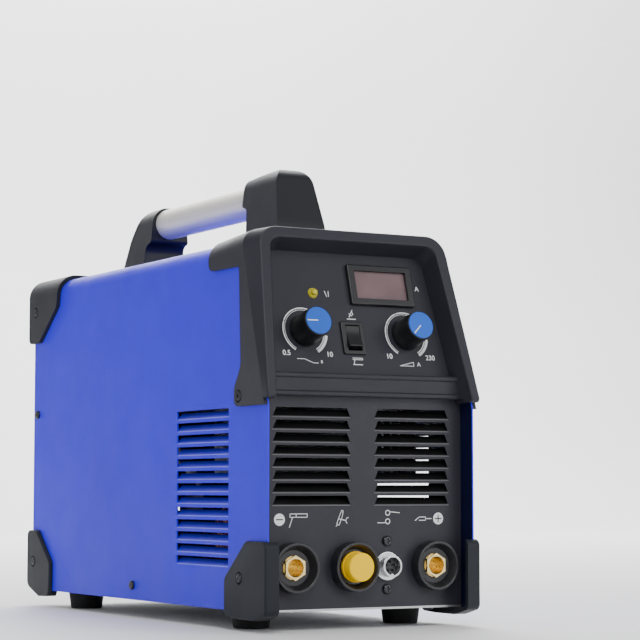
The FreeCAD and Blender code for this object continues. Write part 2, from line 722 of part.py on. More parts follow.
def make_rear_lower_guard():
    rear = CASE_LENGTH + GUARD_REAR_PROUD
    points = [
        (rear, BOTTOM + 51, 5), (CASE_LENGTH - 16, BOTTOM + 51, 7),
        (CASE_LENGTH - 46, BOTTOM + 24.5, 7), (CASE_LENGTH - 45, BOTTOM - GUARD_DROP + 1, 5),
        (CASE_LENGTH - 20, BOTTOM - GUARD_DROP, 6), (rear, BOTTOM + 3, 8),
    ]
    shape = guard(points, HALF + GUARD_PROUD - GUARD_REAR_RETURN)
    return finish_guard(shape, REAR_GUARD_SCREW)


def make_rear_upper_guard():
    """Wraps the top rear corner, over the cover's bend."""
    rear = CASE_LENGTH + GUARD_REAR_PROUD
    front = CASE_LENGTH - 60
    points = [
        (rear, TOP - 53, 5), (CASE_LENGTH - 17, TOP - 53, 7), (CASE_LENGTH - 56, TOP - 24, 7),
        (front, TOP - 2, 5), (front, TOP + 20, 0), (rear, TOP + 20, 0),
    ]
    half = HALF + GUARD_PROUD
    shell = [(-half, BOTTOM, 0), (half, BOTTOM, 0)]
    shell.append((half, TOP + GUARD_PROUD, COVER_CORNER + GUARD_PROUD))
    shell.append((-half, TOP + GUARD_PROUD, COVER_CORNER + GUARD_PROUD))
    hull = front_prism(shell, front - 1, rear)
    shape = hull.common(side_prism(points, HALF - 24, half + 1))
    shape = shape.cut(case_prism(0, 0, CASE_LENGTH, BOTTOM))
    inner = HALF + GUARD_PROUD - GUARD_REAR_RETURN
    open_middle = box(HALF - 30, inner, CASE_LENGTH - 1, rear + 1, BOTTOM, TOP - GUARD_REAR_RETURN)
    shape = shape.cut(open_middle)
    pocket = placed(rod(POCKET_RADIUS, 0, 6), facing_side(GUARD_SEAT, *UPPER_GUARD_SCREW))
    hole = placed(screw_hole(), facing_side(GUARD_SEAT, *UPPER_GUARD_SCREW))
    return shape.cut([pocket, hole])


# ---- handle ----------------------------------------------------------------------------------

def handle_screw_spots():
    front = [(0, FRONT_MOUNT_Y + 16), (0, FRONT_MOUNT_Y + 34)]
    return front + [(0, REAR_MOUNT_Y + 12), (0, REAR_MOUNT_Y + 30)]


def handle_holes():
    holes = []
    for x, y in handle_screw_spots():
        holes.append(rod(HANDLE_SCREW_RADIUS + HOLE_GAP, UNDER_TOP - 2, TOP + 2, x, y))
    return holes


def handle_mount(side_points, foot_half, head, tube_y0, tube_y1, screw_spots):
    """A mount cut to its side outline and to a front outline with a narrower, rounded head."""
    y_values = [point[0] for point in side_points]
    shape = side_prism(side_points, -foot_half - 1, foot_half + 1)
    front = [(-foot_half, TOP, 0), (foot_half, TOP, 0)]
    front += [(MOUNT_TOP_HALF, head, MOUNT_CORNER), (-MOUNT_TOP_HALF, head, MOUNT_CORNER)]
    shape = shape.common(front_prism(front, min(y_values) - 1, max(y_values) + 1))
    tube = Part.makeCylinder(TUBE_RADIUS, tube_y1 - tube_y0, V(0, tube_y0, TUBE_Z), V(0, 1, 0))
    holes = [rod(HANDLE_SCREW_RADIUS, TOP - 1, TOP + 14, x, y) for x, y in screw_spots]
    return shape.cut([tube] + holes)


def make_handle_front_mount():
    y = FRONT_MOUNT_Y
    head = TUBE_Z + TUBE_RADIUS + FRONT_MOUNT_HEAD
    grip = TUBE_Z - TUBE_RADIUS / 2
    points = [
        (y, TOP, 0), (y + 3, TOP + 22, 60), (y + 17, head, 12), (y + 67, head - 6, 3),
        (y + 67, grip, 3), (y + 59, grip - 2, 4), (y + 51, TOP, 0),
    ]
    spots = handle_screw_spots()[:2]
    return handle_mount(points, FRONT_MOUNT_HALF, head, TUBE_FRONT_Y, TUBE_FRONT_Y + 40, spots)


def make_handle_rear_mount():
    y = REAR_MOUNT_Y
    head = TUBE_Z + TUBE_RADIUS + REAR_MOUNT_HEAD
    grip = TUBE_Z - TUBE_RADIUS - 3
    points = [
        (y, TOP, 0), (y, grip - 3, 8), (y - 11, grip, 3), (y - 11, head, 3), (y + 10, head, 22),
        (y + 31, TOP + 38, 30), (y + 42, TOP + 14, 15), (y + 44, TOP, 0),
    ]
    spots = handle_screw_spots()[2:]
    return handle_mount(points, REAR_MOUNT_HALF, head, y - 30, TUBE_REAR_Y, spots)


def make_handle_tube():
    length = TUBE_REAR_Y - TUBE_FRONT_Y
    start = V(0, TUBE_FRONT_Y, TUBE_Z)
    tube = Part.makeCylinder(TUBE_RADIUS, length, start, V(0, 1, 0))
    return tube.cut(Part.makeCylinder(TUBE_RADIUS - TUBE_WALL, length, start, V(0, 1, 0)))


def make_handle_screws():
    screws = []
    for x, y in handle_screw_spots():
        head = hexagon(5.6, UNDER_TOP - 4, UNDER_TOP)
        head.translate(V(x, y, 0))
        screws.append(head.fuse(rod(HANDLE_SCREW_RADIUS, UNDER_TOP - 1, TOP + 13, x, y)).removeSplitter())
    return Part.makeCompound(screws)


# ---- dials -----------------------------------------------------------------------------------

def make_dial(name, x, pointer_angle):
    """Knob, blue cap, shaft and potentiometer of one dial; local Z is the shaft's axis."""
    place = on_hood(x, TOP - DIAL_BELOW_TOP, RECESS_DEPTH)
    shaft_end = KNOB_LENGTH - 4
    behind = -FLOOR_THICKNESS
    knob = Part.makeCone(KNOB_RADIUS, KNOB_TIP_RADIUS, KNOB_LENGTH - KNOB_GAP, V(0, 0, KNOB_GAP))
    knob = rounded(knob, 0.8, lambda point: point.z > KNOB_LENGTH - 0.01)
    seat = rod(CAP_RADIUS, KNOB_LENGTH - 2, KNOB_LENGTH + 1)
    nut_room = rod(6.8, 0, 5)
    knob = knob.cut([seat, nut_room, rod(SHAFT_RADIUS, 0, shaft_end)])
    cap = rod(CAP_RADIUS, KNOB_LENGTH - 2, KNOB_LENGTH - 2 + CAP_HEIGHT)
    cap = rounded(cap, 0.5, lambda point: point.z > KNOB_LENGTH)
    groove = box(0.5, CAP_RADIUS - 0.8, -0.45, 0.45, KNOB_LENGTH - 2 + CAP_HEIGHT - 0.4, KNOB_LENGTH + 3)
    groove.rotate(V(0, 0, 0), V(0, 0, 1), pointer_angle)
    cap = cap.cut(groove)
    shaft = rod(SHAFT_RADIUS, behind - POT_DEPTH + 1.5, shaft_end)
    pot = rod(POT_RADIUS, behind - POT_DEPTH, behind)
    pot = pot.fuse([rod(BUSHING_RADIUS, behind - 1, 3.4), hexagon(5.8, 0, 2.0)]).removeSplitter()
    pot = pot.cut(rod(SHAFT_RADIUS + RUNNING_GAP, behind - POT_DEPTH + 1, 4))
    parts[name + "_knob"] = placed(knob, place)
    parts[name + "_knob_cap"] = placed(cap, place)
    parts[name + "_shaft"] = placed(shaft, place)
    parts[name + "_potentiometer"] = placed(pot, place)


# ---- rocker switches -------------------------------------------------------------------------

# bezel half width and half length, rocker half width and half length, depth behind the panel
MODE_SWITCH = {"bezel": (9.5, 12.6), "rocker": (5.6, 8.6), "depth": 12.4, "wall": 1.9, "throw": 11.0}
POWER_SWITCH = {"bezel": (13.0, 16.5), "rocker": (9.0, 12.0), "depth": 24.0, "wall": 2.2, "throw": 11.0}
SWITCH_BEZEL = 1.8
PIVOT_DEPTH = 3.5
PIVOT_RADIUS = 1.3
ROCKER_FLOOR = 8.5


def switch_body_half(size):
    return size["rocker"][0] + 0.4 + size["wall"], size["rocker"][1] + 1.4 + 1.0


def switch_cutout(size):
    x, y = switch_body_half(size)
    return box(-x - HOLE_GAP, x + HOLE_GAP, -y - HOLE_GAP, y + HOLE_GAP, -8, 8)


def make_switch(name, size, place):
    """A rocker switch; local Z points out of the panel and the rocker turns about local X."""
    bezel_x, bezel_y = size["bezel"]
    rocker_x, rocker_y = size["rocker"]
    body_x, body_y = switch_body_half(size)
    corner = 1.5
    points = [(-bezel_x, -bezel_y, corner), (bezel_x, -bezel_y, corner)]
    points += [(bezel_x, bezel_y, corner), (-bezel_x, bezel_y, corner)]
    bezel = rounded(prism(points, 0, SWITCH_BEZEL), 0.7, lambda point: point.z > SWITCH_BEZEL - 0.01)
    housing = bezel.fuse(box(-body_x, body_x, -body_y, body_y, -size["depth"], 0.5)).removeSplitter()
    cavity_x = rocker_x + 0.4
    cavity_y = rocker_y + 1.4
    cavity = box(-cavity_x, cavity_x, -cavity_y, cavity_y, -ROCKER_FLOOR - 2.7, 5)
    pivot_start = V(-rocker_x - 1.5, 0, -PIVOT_DEPTH)
    pivot = Part.makeCylinder(PIVOT_RADIUS + RUNNING_GAP, 2 * rocker_x + 3, pivot_start, V(1, 0, 0))
    housing = housing.cut([cavity, pivot])
    tip = 3.4
    profile = [
        (-rocker_y, -ROCKER_FLOOR, 1), (rocker_y, -ROCKER_FLOOR, 1), (rocker_y, tip, 0.7),
        (0, tip - 1.9, 20), (-rocker_y, tip, 0.7),
    ]
    rocker = side_prism(profile, -rocker_x, rocker_x)
    pin = Part.makeCylinder(PIVOT_RADIUS, 2 * rocker_x + 2, V(-rocker_x - 1, 0, -PIVOT_DEPTH), V(1, 0, 0))
    rocker = rocker.fuse(pin).removeSplitter()
    rocker.rotate(V(0, 0, -PIVOT_DEPTH), V(1, 0, 0), -size["throw"])
    parts[name + "_housing"] = placed(housing, place)
    parts[name + "_rocker"] = placed(rocker, place)


# ---- meter, lamp and control board -----------------------------------------------------------

METER_BODY_X = WINDOW_WIDTH / 2 + 2.2
METER_BODY_Y = WINDOW_HEIGHT / 2 + 2.2
METER_PROUD = 3.2
METER_BODY_DEPTH = 8.0


def make_meter():
    place = on_hood(METER_X, TOP - METER_BELOW_TOP, RECESS_DEPTH)
    x = METER_WIDTH / 2
    y = METER_HEIGHT / 2
    points = [(-x, -y, 1.2), (x, -y, 1.2), (x, y, 1.2), (-x, y, 1.2)]
    bezel = rounded(prism(points, 0, METER_PROUD), 1.0, lambda point: point.z > METER_PROUD - 0.01)
    body = box(-METER_BODY_X, METER_BODY_X, -METER_BODY_Y, METER_BODY_Y, -METER_BODY_DEPTH, 0.5)
    bezel = bezel.fuse(body).removeSplitter()
    window_x = WINDOW_WIDTH / 2
    window_y = WINDOW_HEIGHT / 2
    bezel = bezel.cut(box(-window_x, window_x, -window_y, window_y, -METER_BODY_DEPTH - 1, METER_PROUD + 1))
    window = box(-window_x, window_x, -window_y, window_y, -0.6, 1.0)
    module = box(-window_x, window_x, -window_y, window_y, -METER_BODY_DEPTH, -1.0)
    parts["meter_bezel"] = placed(bezel, place)
    parts["meter_window"] = placed(window, place)
    parts["meter_module"] = placed(module, place)


def make_led():
    place = on_hood(LED_X, TOP - LED_BELOW_TOP, RECESS_DEPTH)
    flange = Part.makeCone(4.0, 3.4, 1.2)
    dome = rod(LED_RADIUS, -4, 2.0).fuse(Part.makeSphere(LED_RADIUS, V(0, 0, 2.0)))
    parts["indicator_led"] = placed(flange.fuse(dome).removeSplitter(), place)


def make_control_board():
    """Lies against the backs of the potentiometers, parallel to the control panel."""
    depth = RECESS_DEPTH + FLOOR_THICKNESS + POT_DEPTH
    place = on_hood(0, TOP - DIAL_BELOW_TOP, depth)
    half = DIAL_X + 22
    board = box(-half, half, -14, 46, -BOARD_THICKNESS, 0)
    chips = [box(-20, -8, 5, 17, -4, -1), box(4, 24, 22, 30, -5, -1), box(-34, -26, 26, 38, -7, -1)]
    parts["control_board"] = placed(board.fuse(chips).removeSplitter(), place)


# ---- sockets ---------------------------------------------------------------------------------

SOCKET_BARREL = 13.4


def collar():
    """The round moulded collar of a socket, a shallow funnel standing on the panel."""
    ring = rod(COLLAR_RADIUS, 0, COLLAR_REACH)
    mouth = COLLAR_RADIUS - COLLAR_RIM
    slope = (mouth - COLLAR_FLOOR_RADIUS) / (COLLAR_REACH - COLLAR_FLOOR)
    depth = COLLAR_REACH + 1 - COLLAR_FLOOR
    funnel = Part.makeCone(COLLAR_FLOOR_RADIUS, COLLAR_FLOOR_RADIUS + slope * depth, depth, V(0, 0, COLLAR_FLOOR))
    ring = ring.cut(funnel)
    ring = rounded(ring, 0.7, lambda point: point.z > COLLAR_REACH - 0.01)
    return ring.fuse(rod(SOCKET_BARREL, -22, 0.5)).removeSplitter()


def make_current_socket(name, x):
    place = facing_front(x, PANEL_INSET, SOCKET_Z)
    seat = COLLAR_FLOOR - 0.6
    body = collar().cut([rod(INSERT_RADIUS, -30, 12), rod(HEX_RADIUS + FIT_GAP, seat, 12)])
    nut = hexagon(HEX_RADIUS, seat, HEX_FRONT, 30)
    insert = rod(INSERT_RADIUS, -24, seat + 0.6).fuse([nut, rod(5.0, -35, -23)])
    insert = insert.fuse(hexagon(8.2, -30, -25)).removeSplitter()
    insert = insert.cut(rod(SOCKET_BORE, -19, 12))
    parts[name + "_body"] = placed(body, place)
    parts[name + "_insert"] = placed(insert, place)


def make_gas_outlet():
    place = facing_front(GAS_X, PANEL_INSET, SOCKET_Z)
    body = collar().cut(rod(GAS_THREAD_RADIUS, -30, 12))
    nipple_front = GAS_CAP_FRONT - 3.0
    nipple = rod(GAS_THREAD_RADIUS, -22, nipple_front)
    nipple = nipple.fuse(rod(3.6, -32, -21)).removeSplitter().cut(rod(2.0, -33, nipple_front + 1))
    rear = COLLAR_FLOOR + FIT_GAP
    flange = rod(GAS_CAP_RADIUS + 0.8, rear, rear + 2.2)
    cap = flange.fuse(rod(GAS_CAP_RADIUS, rear + 2, GAS_CAP_FRONT)).removeSplitter()
    cap = rounded(cap, 1.2, lambda point: point.z > GAS_CAP_FRONT - 0.01)
    cap = cap.cut(rod(GAS_THREAD_RADIUS + FIT_GAP, rear - 1, nipple_front + 0.6))
    parts["gas_outlet_body"] = placed(body, place)
    parts["gas_outlet_nipple"] = placed(nipple, place)
    parts["gas_outlet_cap"] = placed(cap, place)


def control_screw_places():
    places = []
    for dz in (-CONTROL_SCREW_OFFSET, CONTROL_SCREW_OFFSET):
        places.append(facing_front(CONTROL_X, PANEL_INSET, SOCKET_Z + 0.7 + dz))
    return places


def make_control_socket():
    """The screwed multi-pin socket for the torch's switch."""
    place = facing_front(CONTROL_X, PANEL_INSET, SOCKET_Z)
    shell = rod(CONTROL_THREAD_RADIUS, -10, 9.0)
    shell = rounded(shell, 0.5, lambda point: point.z > 8.9)
    washer = rounded(rod(CONTROL_WASHER_RADIUS, 0, 1.8), 0.6, lambda point: point.z > 1.7)
    shell = shell.fuse(washer).removeSplitter().cut(rod(6.5, -11, 10))
    key = box(-1.0, 1.0, -6.6, -5.4, -4, 8.0)
    insert = rod(6.5, -12, 4.5).cut(box(-1.2, 1.2, -7.0, -5.2, 0, 6))
    pins = []
    for index in range(5):
        angle = math.radians(90 + 72 * index)
        pins.append(rod(0.75, 3.5, 7.6, 3.4 * math.cos(angle), 3.4 * math.sin(angle)))
    insert = insert.fuse(pins).removeSplitter()
    shell = shell.fuse(key.common(rod(6.6, 0.5, 8))).removeSplitter()
    insert = insert.cut(shell)
    parts["control_socket_shell"] = placed(shell, place)
    parts["control_socket_insert"] = placed(insert, place)
    screws = [placed(screw(), spot) for spot in control_screw_places()]
    parts["control_socket_screws"] = Part.makeCompound(screws)


# ---- rear fittings ---------------------------------------------------------------------------

GLAND_BODY = 10.0
INLET_BODY = 6.0


def make_cable_gland():
    """A screwed gland for the mains lead, open right through."""
    place = facing_rear(GLAND_X, REAR_PLATE_Y + PANEL_SHEET, REAR_ROW_Z)
    body = rod(GLAND_BODY, -14, 8).fuse([hexagon(13.5, 0, 5), hexagon(13.5, -7, -PANEL_SHEET)])
    dome = rounded(rod(12.0, 6, 19), 4.0, lambda point: point.z > 18.9)
    body = body.fuse([dome, hexagon(13.0, 6, 13, 12)]).removeSplitter()
    parts["cable_gland"] = placed(body.cut(rod(GLAND_BORE, -20, 25)), place)


def barb(start, count, radius):
    """A hose barb of stacked cones along local Z."""
    shape = rod(radius - 1.0, start, start + 4.0 * count)
    for index in range(count):
        cone = Part.makeCone(radius, radius - 1.0, 4.0, V(0, 0, start + 4.0 * index))
        shape = shape.fuse(cone)
    return shape.removeSplitter()


def make_gas_inlet():
    place = facing_rear(GAS_INLET_X, REAR_PLATE_Y + PANEL_SHEET, SOCKET_Z)
    rear_face = REAR_PLATE_Y + PANEL_SHEET
    body = rod(INLET_BODY, -12, 3).fuse([hexagon(8.0, 0, 6), hexagon(7.6, -6, -PANEL_SHEET)])
    body = body.fuse([barb(5.5, 4, GAS_BARB_RADIUS), rod(3.0, -(rear_face - VALVE_REAR_Y), -10)])
    parts["gas_inlet"] = placed(body.removeSplitter().cut(rod(1.8, -200, 40)), place)


def make_ground_stud():
    place = facing_rear(GROUND_X, REAR_PLATE_Y + PANEL_SHEET, BOTTOM + GROUND_RISE)
    stud = rod(GROUND_RADIUS, -12, 16)
    stud = stud.fuse([hexagon(7.2, 0, 5), rod(8.0, 5, 6.4), hexagon(7.2, -7, -PANEL_SHEET)])
    parts["ground_stud"] = placed(stud.removeSplitter(), place)


def make_fan():
    place = facing_rear(0, REAR_PLATE_Y, FAN_Z)
    half = FAN_SIZE / 2
    corners = [(-half, -half, 6), (half, -half, 6), (half, half, 6), (-half, half, 6)]
    frame = prism(corners, -FAN_DEPTH, 0).cut(rod(FAN_BORE, -FAN_DEPTH - 1, 1))
    waist = prism(corners, -FAN_DEPTH + 5, -5).cut(rod(FAN_BORE + 3, -FAN_DEPTH, 1))
    corner_posts = [rod(8, -FAN_DEPTH, 0, dx * FAN_SCREW_OFFSET, dy * FAN_SCREW_OFFSET)
                    for dx in (-1, 1) for dy in (-1, 1)]
    waist = waist.cut(corner_posts)
    frame = frame.cut(waist)
    struts = [rod(FAN_HUB + 1, -5, 0)]
    for angle in (45, 135, 225, 315):
        strut = box(0, FAN_BORE + 1, -2, 2, -4, 0)
        strut.rotate(V(0, 0, 0), V(0, 0, 1), angle)
        struts.append(strut)
    frame = frame.fuse(struts).removeSplitter()
    bores = [rod(SCREW_RADIUS, -20, 1, dx * FAN_SCREW_OFFSET, dy * FAN_SCREW_OFFSET)
             for dx in (-1, 1) for dy in (-1, 1)]
    frame = frame.cut(bores + [rod(FAN_SHAFT_RADIUS + RUNNING_GAP, -6, -1)])
    rotor = rod(FAN_HUB, -32, -7).cut(rod(FAN_HUB - 3, -29, -6))
    rotor = rotor.fuse(rod(FAN_SHAFT_RADIUS, -30, -1.5))
    for index in range(FAN_BLADES):
        blade = box(FAN_HUB - 1.5, FAN_BORE - 2.5, -1.0, 1.0, -17, 17)
        blade.rotate(V(0, 0, 0), V(1, 0, 0), 48)
        blade.translate(V(0, 0, -20))
        blade.rotate(V(0, 0, 0), V(0, 0, 1), 360.0 * index / FAN_BLADES)
        rotor = rotor.fuse(blade.common(rod(FAN_BORE - 1.5, -34, -6.5)))
    parts["fan_frame"] = placed(frame, place)
    parts["fan_rotor"] = placed(rotor.removeSplitter(), place)
    parts["fan_screws"] = Part.makeCompound([placed(screw(12.0), spot) for spot in fan_screw_places()])


# ---- inside ----------------------------------------------------------------------------------

VALVE_REAR_Y = CASE_LENGTH - 84.0
VALVE_FRONT_Y = VALVE_REAR_Y - 34.0
VALVE_HALF_WIDTH = 9.5
HOSE_CROSS_Y = 58.0
REACTOR_Y = 106.0
REACTOR_X = -52.0
REACTOR_RING = 27.0
REACTOR_CORE = 9.0
TRANSFORMER_Y = 196.0
TRANSFORMER_X = -22.0
HEATSINK_X0 = 16.0
HEATSINK_X1 = 75.0


def make_gas_valve():
    x = GAS_INLET_X
    half = VALVE_HALF_WIDTH
    body = box(x - half, x + half, VALVE_FRONT_Y, VALVE_REAR_Y, TRAY_TOP, SOCKET_Z + 9)
    middle = (VALVE_FRONT_Y + VALVE_REAR_Y) / 2
    coil = rod(9.0, SOCKET_Z + 8, SOCKET_Z + 34, x, middle)
    spigot = Part.makeCylinder(2.5, 14, V(x, VALVE_FRONT_Y - 10, SOCKET_Z), V(0, 1, 0))
    parts["gas_valve"] = body.fuse([coil, spigot]).removeSplitter()


def make_gas_hose():
    """From the valve forward along the left side, then across to the gas outlet."""
    z = SOCKET_Z
    start = V(GAS_INLET_X, VALVE_FRONT_Y, z)
    turn_in = V(GAS_INLET_X, HOSE_CROSS_Y, z)
    turn_out = V(GAS_X, HOSE_CROSS_Y, z)
    end = V(GAS_X, PANEL_INSET + 22, z)
    bend = HOSE_BEND
    share = bend * (1 - math.sqrt(0.5))
    edges = [
        Part.LineSegment(start, turn_in + V(0, bend, 0)).toShape(),
        Part.Arc(turn_in + V(0, bend, 0), turn_in + V(share, share, 0), turn_in + V(bend, 0, 0)).toShape(),
        Part.LineSegment(turn_in + V(bend, 0, 0), turn_out - V(bend, 0, 0)).toShape(),
        Part.Arc(turn_out - V(bend, 0, 0), turn_out - V(share, share, 0),
                 turn_out - V(0, bend, 0)).toShape(),
        Part.LineSegment(turn_out - V(0, bend, 0), end).toShape(),
    ]
    path = Part.Wire(edges)
    solids = []
    for radius in (HOSE_RADIUS, 2.5):
        ring = Part.Wire(Part.makeCircle(radius, start, V(0, -1, 0)))
        solids.append(path.makePipeShell([ring], True, False))
    hose = solids[0].cut(solids[1])
    hose = hose.cut(Part.makeCylinder(HOSE_END_BORE, 10, end, V(0, 1, 0)))
    parts["gas_hose"] = hose


def make_reactor():
    """A ring core wound with thick copper, standing on the tray."""
    centre = V(REACTOR_X, REACTOR_Y, TRAY_TOP + REACTOR_RING + REACTOR_CORE + 3.5)
    ring = Part.makeTorus(REACTOR_RING, REACTOR_CORE, centre, V(1, 0, 0))
    turns = []
    for index in range(20):
        if index in (14, 15, 16):
            continue
        angle = math.radians(18 * index)
        spot = centre + V(0, REACTOR_RING * math.cos(angle), REACTOR_RING * math.sin(angle))
        along = V(0, -math.sin(angle), math.cos(angle))
        turns.append(Part.makeTorus(REACTOR_CORE + 0.8, 1.7, spot, along))
    base = box(REACTOR_X - 12, REACTOR_X + 12, REACTOR_Y - 16, REACTOR_Y + 16, TRAY_TOP, TRAY_TOP + 6.5)
    parts["output_reactor"] = ring.fuse(turns + [base]).removeSplitter()


def make_transformer():
    x = TRANSFORMER_X
    y = TRANSFORMER_Y
    z = TRAY_TOP
    core = box(x - 34, x + 34, y - 14, y + 14, z, z + 66)
    windows = [box(x + side - 7, x + side + 7, y - 15, y + 15, z + 12, z + 54) for side in (-17, 17)]
    winding = box(x - 22.5, x + 22.5, y - 27, y + 27, z + 13, z + 53)
    winding = winding.cut(box(x - 10, x + 10, y - 14, y + 14, z, z + 60))
    parts["transformer_core"] = core.cut(windows)
    parts["transformer_winding"] = winding


def make_heatsink():
    """Hangs under the shelf, its fins in the fan's air."""
    y0 = SHELF_FRONT_Y
    y1 = CASE_LENGTH - 150
    base = box(HEATSINK_X0, HEATSINK_X1, y0, y1, SHELF_Z - 8, SHELF_Z)
    fins = []
    count = 9
    step = (HEATSINK_X1 - HEATSINK_X0 - 2.0) / (count - 1)
    for index in range(count):
        x = HEATSINK_X0 + index * step
        fins.append(box(x, x + 2.0, y0, y1, SHELF_Z - 60, SHELF_Z - 7))
    parts["heatsink"] = base.fuse(fins).removeSplitter()


def make_main_board():
    x = INSIDE - 12
    y0 = 84.0
    y1 = CASE_LENGTH - 75
    board = box(-x, x, y0, y1, BOARD_Z, BOARD_Z + BOARD_THICKNESS)
    pieces = []
    for px in (-x + 6, x - 6):
        for py in (y0 + 8, y1 - 8):
            pieces.append(rod(3.0, SHELF_Z + PANEL_SHEET, BOARD_Z + 0.5, px, py))
    top = BOARD_Z + BOARD_THICKNESS
    pieces.append(box(-50, -20, y0 + 20, y0 + 55, top - 0.5, top + 28))
    pieces.append(box(0, 24, y0 + 16, y0 + 44, top - 0.5, top + 20))
    pieces.append(box(36, 60, y0 + 20, y0 + 60, top - 0.5, top + 32))
    parts["main_board"] = board.fuse(pieces).removeSplitter()
    cans = []
    for px in (-44, 0, 44):
        can = rod(17.5, top, top + 45, px, y1 - 40)
        cans.append(rounded(can, 1.5, lambda point: point.z > top + 44))
    parts["capacitors"] = Part.makeCompound(cans)


# ---- assembly --------------------------------------------------------------------------------

parts["base_tray"] = make_base_tray()
parts["cover"] = make_cover()
parts["front_panel"] = make_front_panel()
parts["front_hood"] = make_front_hood()
parts["hood_band"] = make_hood_band()
parts["rear_panel"] = make_rear_panel()
for guard_name, guard_shape in (
    ("front_lower_guard", make_front_lower_guard()),
    ("rear_lower_guard", make_rear_lower_guard()),
    ("rear_upper_guard", make_rear_upper_guard()),
):
    parts[guard_name + "_right"] = guard_shape
    parts[guard_name + "_left"] = mirrored(guard_shape)
parts["feet"] = make_feet()
parts["handle_tube"] = make_handle_tube()
parts["handle_front_mount"] = make_handle_front_mount()
parts["handle_rear_mount"] = make_handle_rear_mount()
parts["handle_screws"] = make_handle_screws()
make_dial("post_time", -DIAL_X, 180.0)
make_dial("current", DIAL_X, 225.0)
make_switch("mode_switch", MODE_SWITCH, on_hood(MODE_X, TOP - MODE_BELOW_TOP, RECESS_DEPTH))
power_switch_place = facing_rear(POWER_SWITCH_X, REAR_PLATE_Y + PANEL_SHEET, REAR_ROW_Z)
make_switch("power_switch", POWER_SWITCH, power_switch_place)
make_meter()
make_led()
make_control_board()
make_current_socket("negative_socket", -SOCKET_X)
make_current_socket("positive_socket", SOCKET_X)
make_gas_outlet()
make_control_socket()
make_cable_gland()
make_gas_inlet()
make_ground_stud()
make_fan()
parts["inner_shelf"] = make_inner_shelf()
make_gas_valve()
make_gas_hose()
make_reactor()
make_transformer()
make_heatsink()
make_main_board()
case_screws = [placed(screw(), place) for place in side_places + base_places]
parts["case_screws"] = Part.makeCompound(case_screws)

# The origin is the bottom centre of the whole machine.
boxes = [shape.optimalBoundingBox(False) for shape in parts.values()]
middle_y = (min(bound.YMin for bound in boxes) + max(bound.YMax for bound in boxes)) / 2
os.makedirs("parts", exist_ok=True)
for name, shape in parts.items():
    shape.translate(V(0, -middle_y, 0))
    shape.exportStep("parts/" + name + ".step")
print("nodes", len(parts), "middle_y", round(middle_y, 3))
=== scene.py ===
import math

import bmesh
import bpy
from mathutils import Matrix, Vector
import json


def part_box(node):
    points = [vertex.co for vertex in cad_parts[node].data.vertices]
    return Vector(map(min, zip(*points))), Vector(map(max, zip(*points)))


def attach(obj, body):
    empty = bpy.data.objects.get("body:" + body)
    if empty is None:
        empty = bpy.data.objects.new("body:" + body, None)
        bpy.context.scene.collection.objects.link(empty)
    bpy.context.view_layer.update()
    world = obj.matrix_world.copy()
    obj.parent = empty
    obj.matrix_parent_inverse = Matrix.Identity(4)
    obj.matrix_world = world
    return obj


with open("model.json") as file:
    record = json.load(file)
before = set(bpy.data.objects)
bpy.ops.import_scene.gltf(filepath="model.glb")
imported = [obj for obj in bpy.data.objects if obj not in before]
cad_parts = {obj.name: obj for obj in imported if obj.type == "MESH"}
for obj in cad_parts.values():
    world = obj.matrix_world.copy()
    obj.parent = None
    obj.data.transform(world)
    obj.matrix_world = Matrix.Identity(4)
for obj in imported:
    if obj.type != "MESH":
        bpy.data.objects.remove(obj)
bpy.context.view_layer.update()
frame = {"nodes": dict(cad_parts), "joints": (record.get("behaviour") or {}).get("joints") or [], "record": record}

# The looks of a portable TIG and stick welding machine. Metres, in the part's own frame:
# +X to the right seen from the front, +Y from front to rear, +Z up, Z = 0 under the feet.

MM = 0.001
NODES = frame["nodes"]
JOINTS = {joint["name"]: joint for joint in frame["joints"]}
MACHINE = "machine"


# ---- places taken from the frame --------------------------------------------------------------

def centre(node):
    low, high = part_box(node)
    return (low + high) / 2


def reach(node, direction):
    """The furthest a node gets along a direction."""
    return max(vertex.co.dot(direction) for vertex in NODES[node].data.vertices)


cover_low, cover_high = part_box("cover")
panel_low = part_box("front_panel")[0]
RIGHT = Vector((1, 0, 0))
UP = Vector((0, 0, 1))
PANEL_OUT = -Vector(JOINTS["post_time_knob_turn"]["axis"]).normalized()
PANEL_UP = PANEL_OUT.cross(RIGHT)
DIALS = {
    "post_time": Vector(JOINTS["post_time_knob_turn"]["pos_m"]),
    "current": Vector(JOINTS["current_knob_turn"]["pos_m"]),
}


# ---- camera, floor and light ------------------------------------------------------------------

CAMERA_YAW = 29.5
CAMERA_PITCH = 4.63
CAMERA_LENS = 118.1
CAMERA_LEFT = 0.7771
CAMERA_BACK = 1.2957
CAMERA_RISE = 0.0859
BACKDROP_Y = 4.0
BACKDROP_LEFT = -0.9


def make_camera():
    data = bpy.data.cameras.new("camera")
    data.lens = CAMERA_LENS
    data.sensor_width = 36.0
    data.clip_start = 0.01
    data.clip_end = 50.0
    camera = bpy.data.objects.new("camera", data)
    bpy.context.scene.collection.objects.link(camera)
    camera.location = (-CAMERA_LEFT, cover_low.y - CAMERA_BACK, cover_low.z + CAMERA_RISE)
    camera.rotation_euler = (math.radians(90 + CAMERA_PITCH), 0, math.radians(-CAMERA_YAW))
    bpy.context.scene.camera = camera


def area_light(name, place, aim, size, watts, colour=(1, 1, 1)):
    data = bpy.data.lights.new(name, "AREA")
    data.shape = "RECTANGLE"
    data.size, data.size_y = size
    data.energy = watts
    data.color = colour
    light = bpy.data.objects.new(name, data)
    bpy.context.scene.collection.objects.link(light)
    light.location = place
    direction = Vector(aim) - Vector(place)
    light.rotation_euler = direction.to_track_quat("-Z", "Y").to_euler()


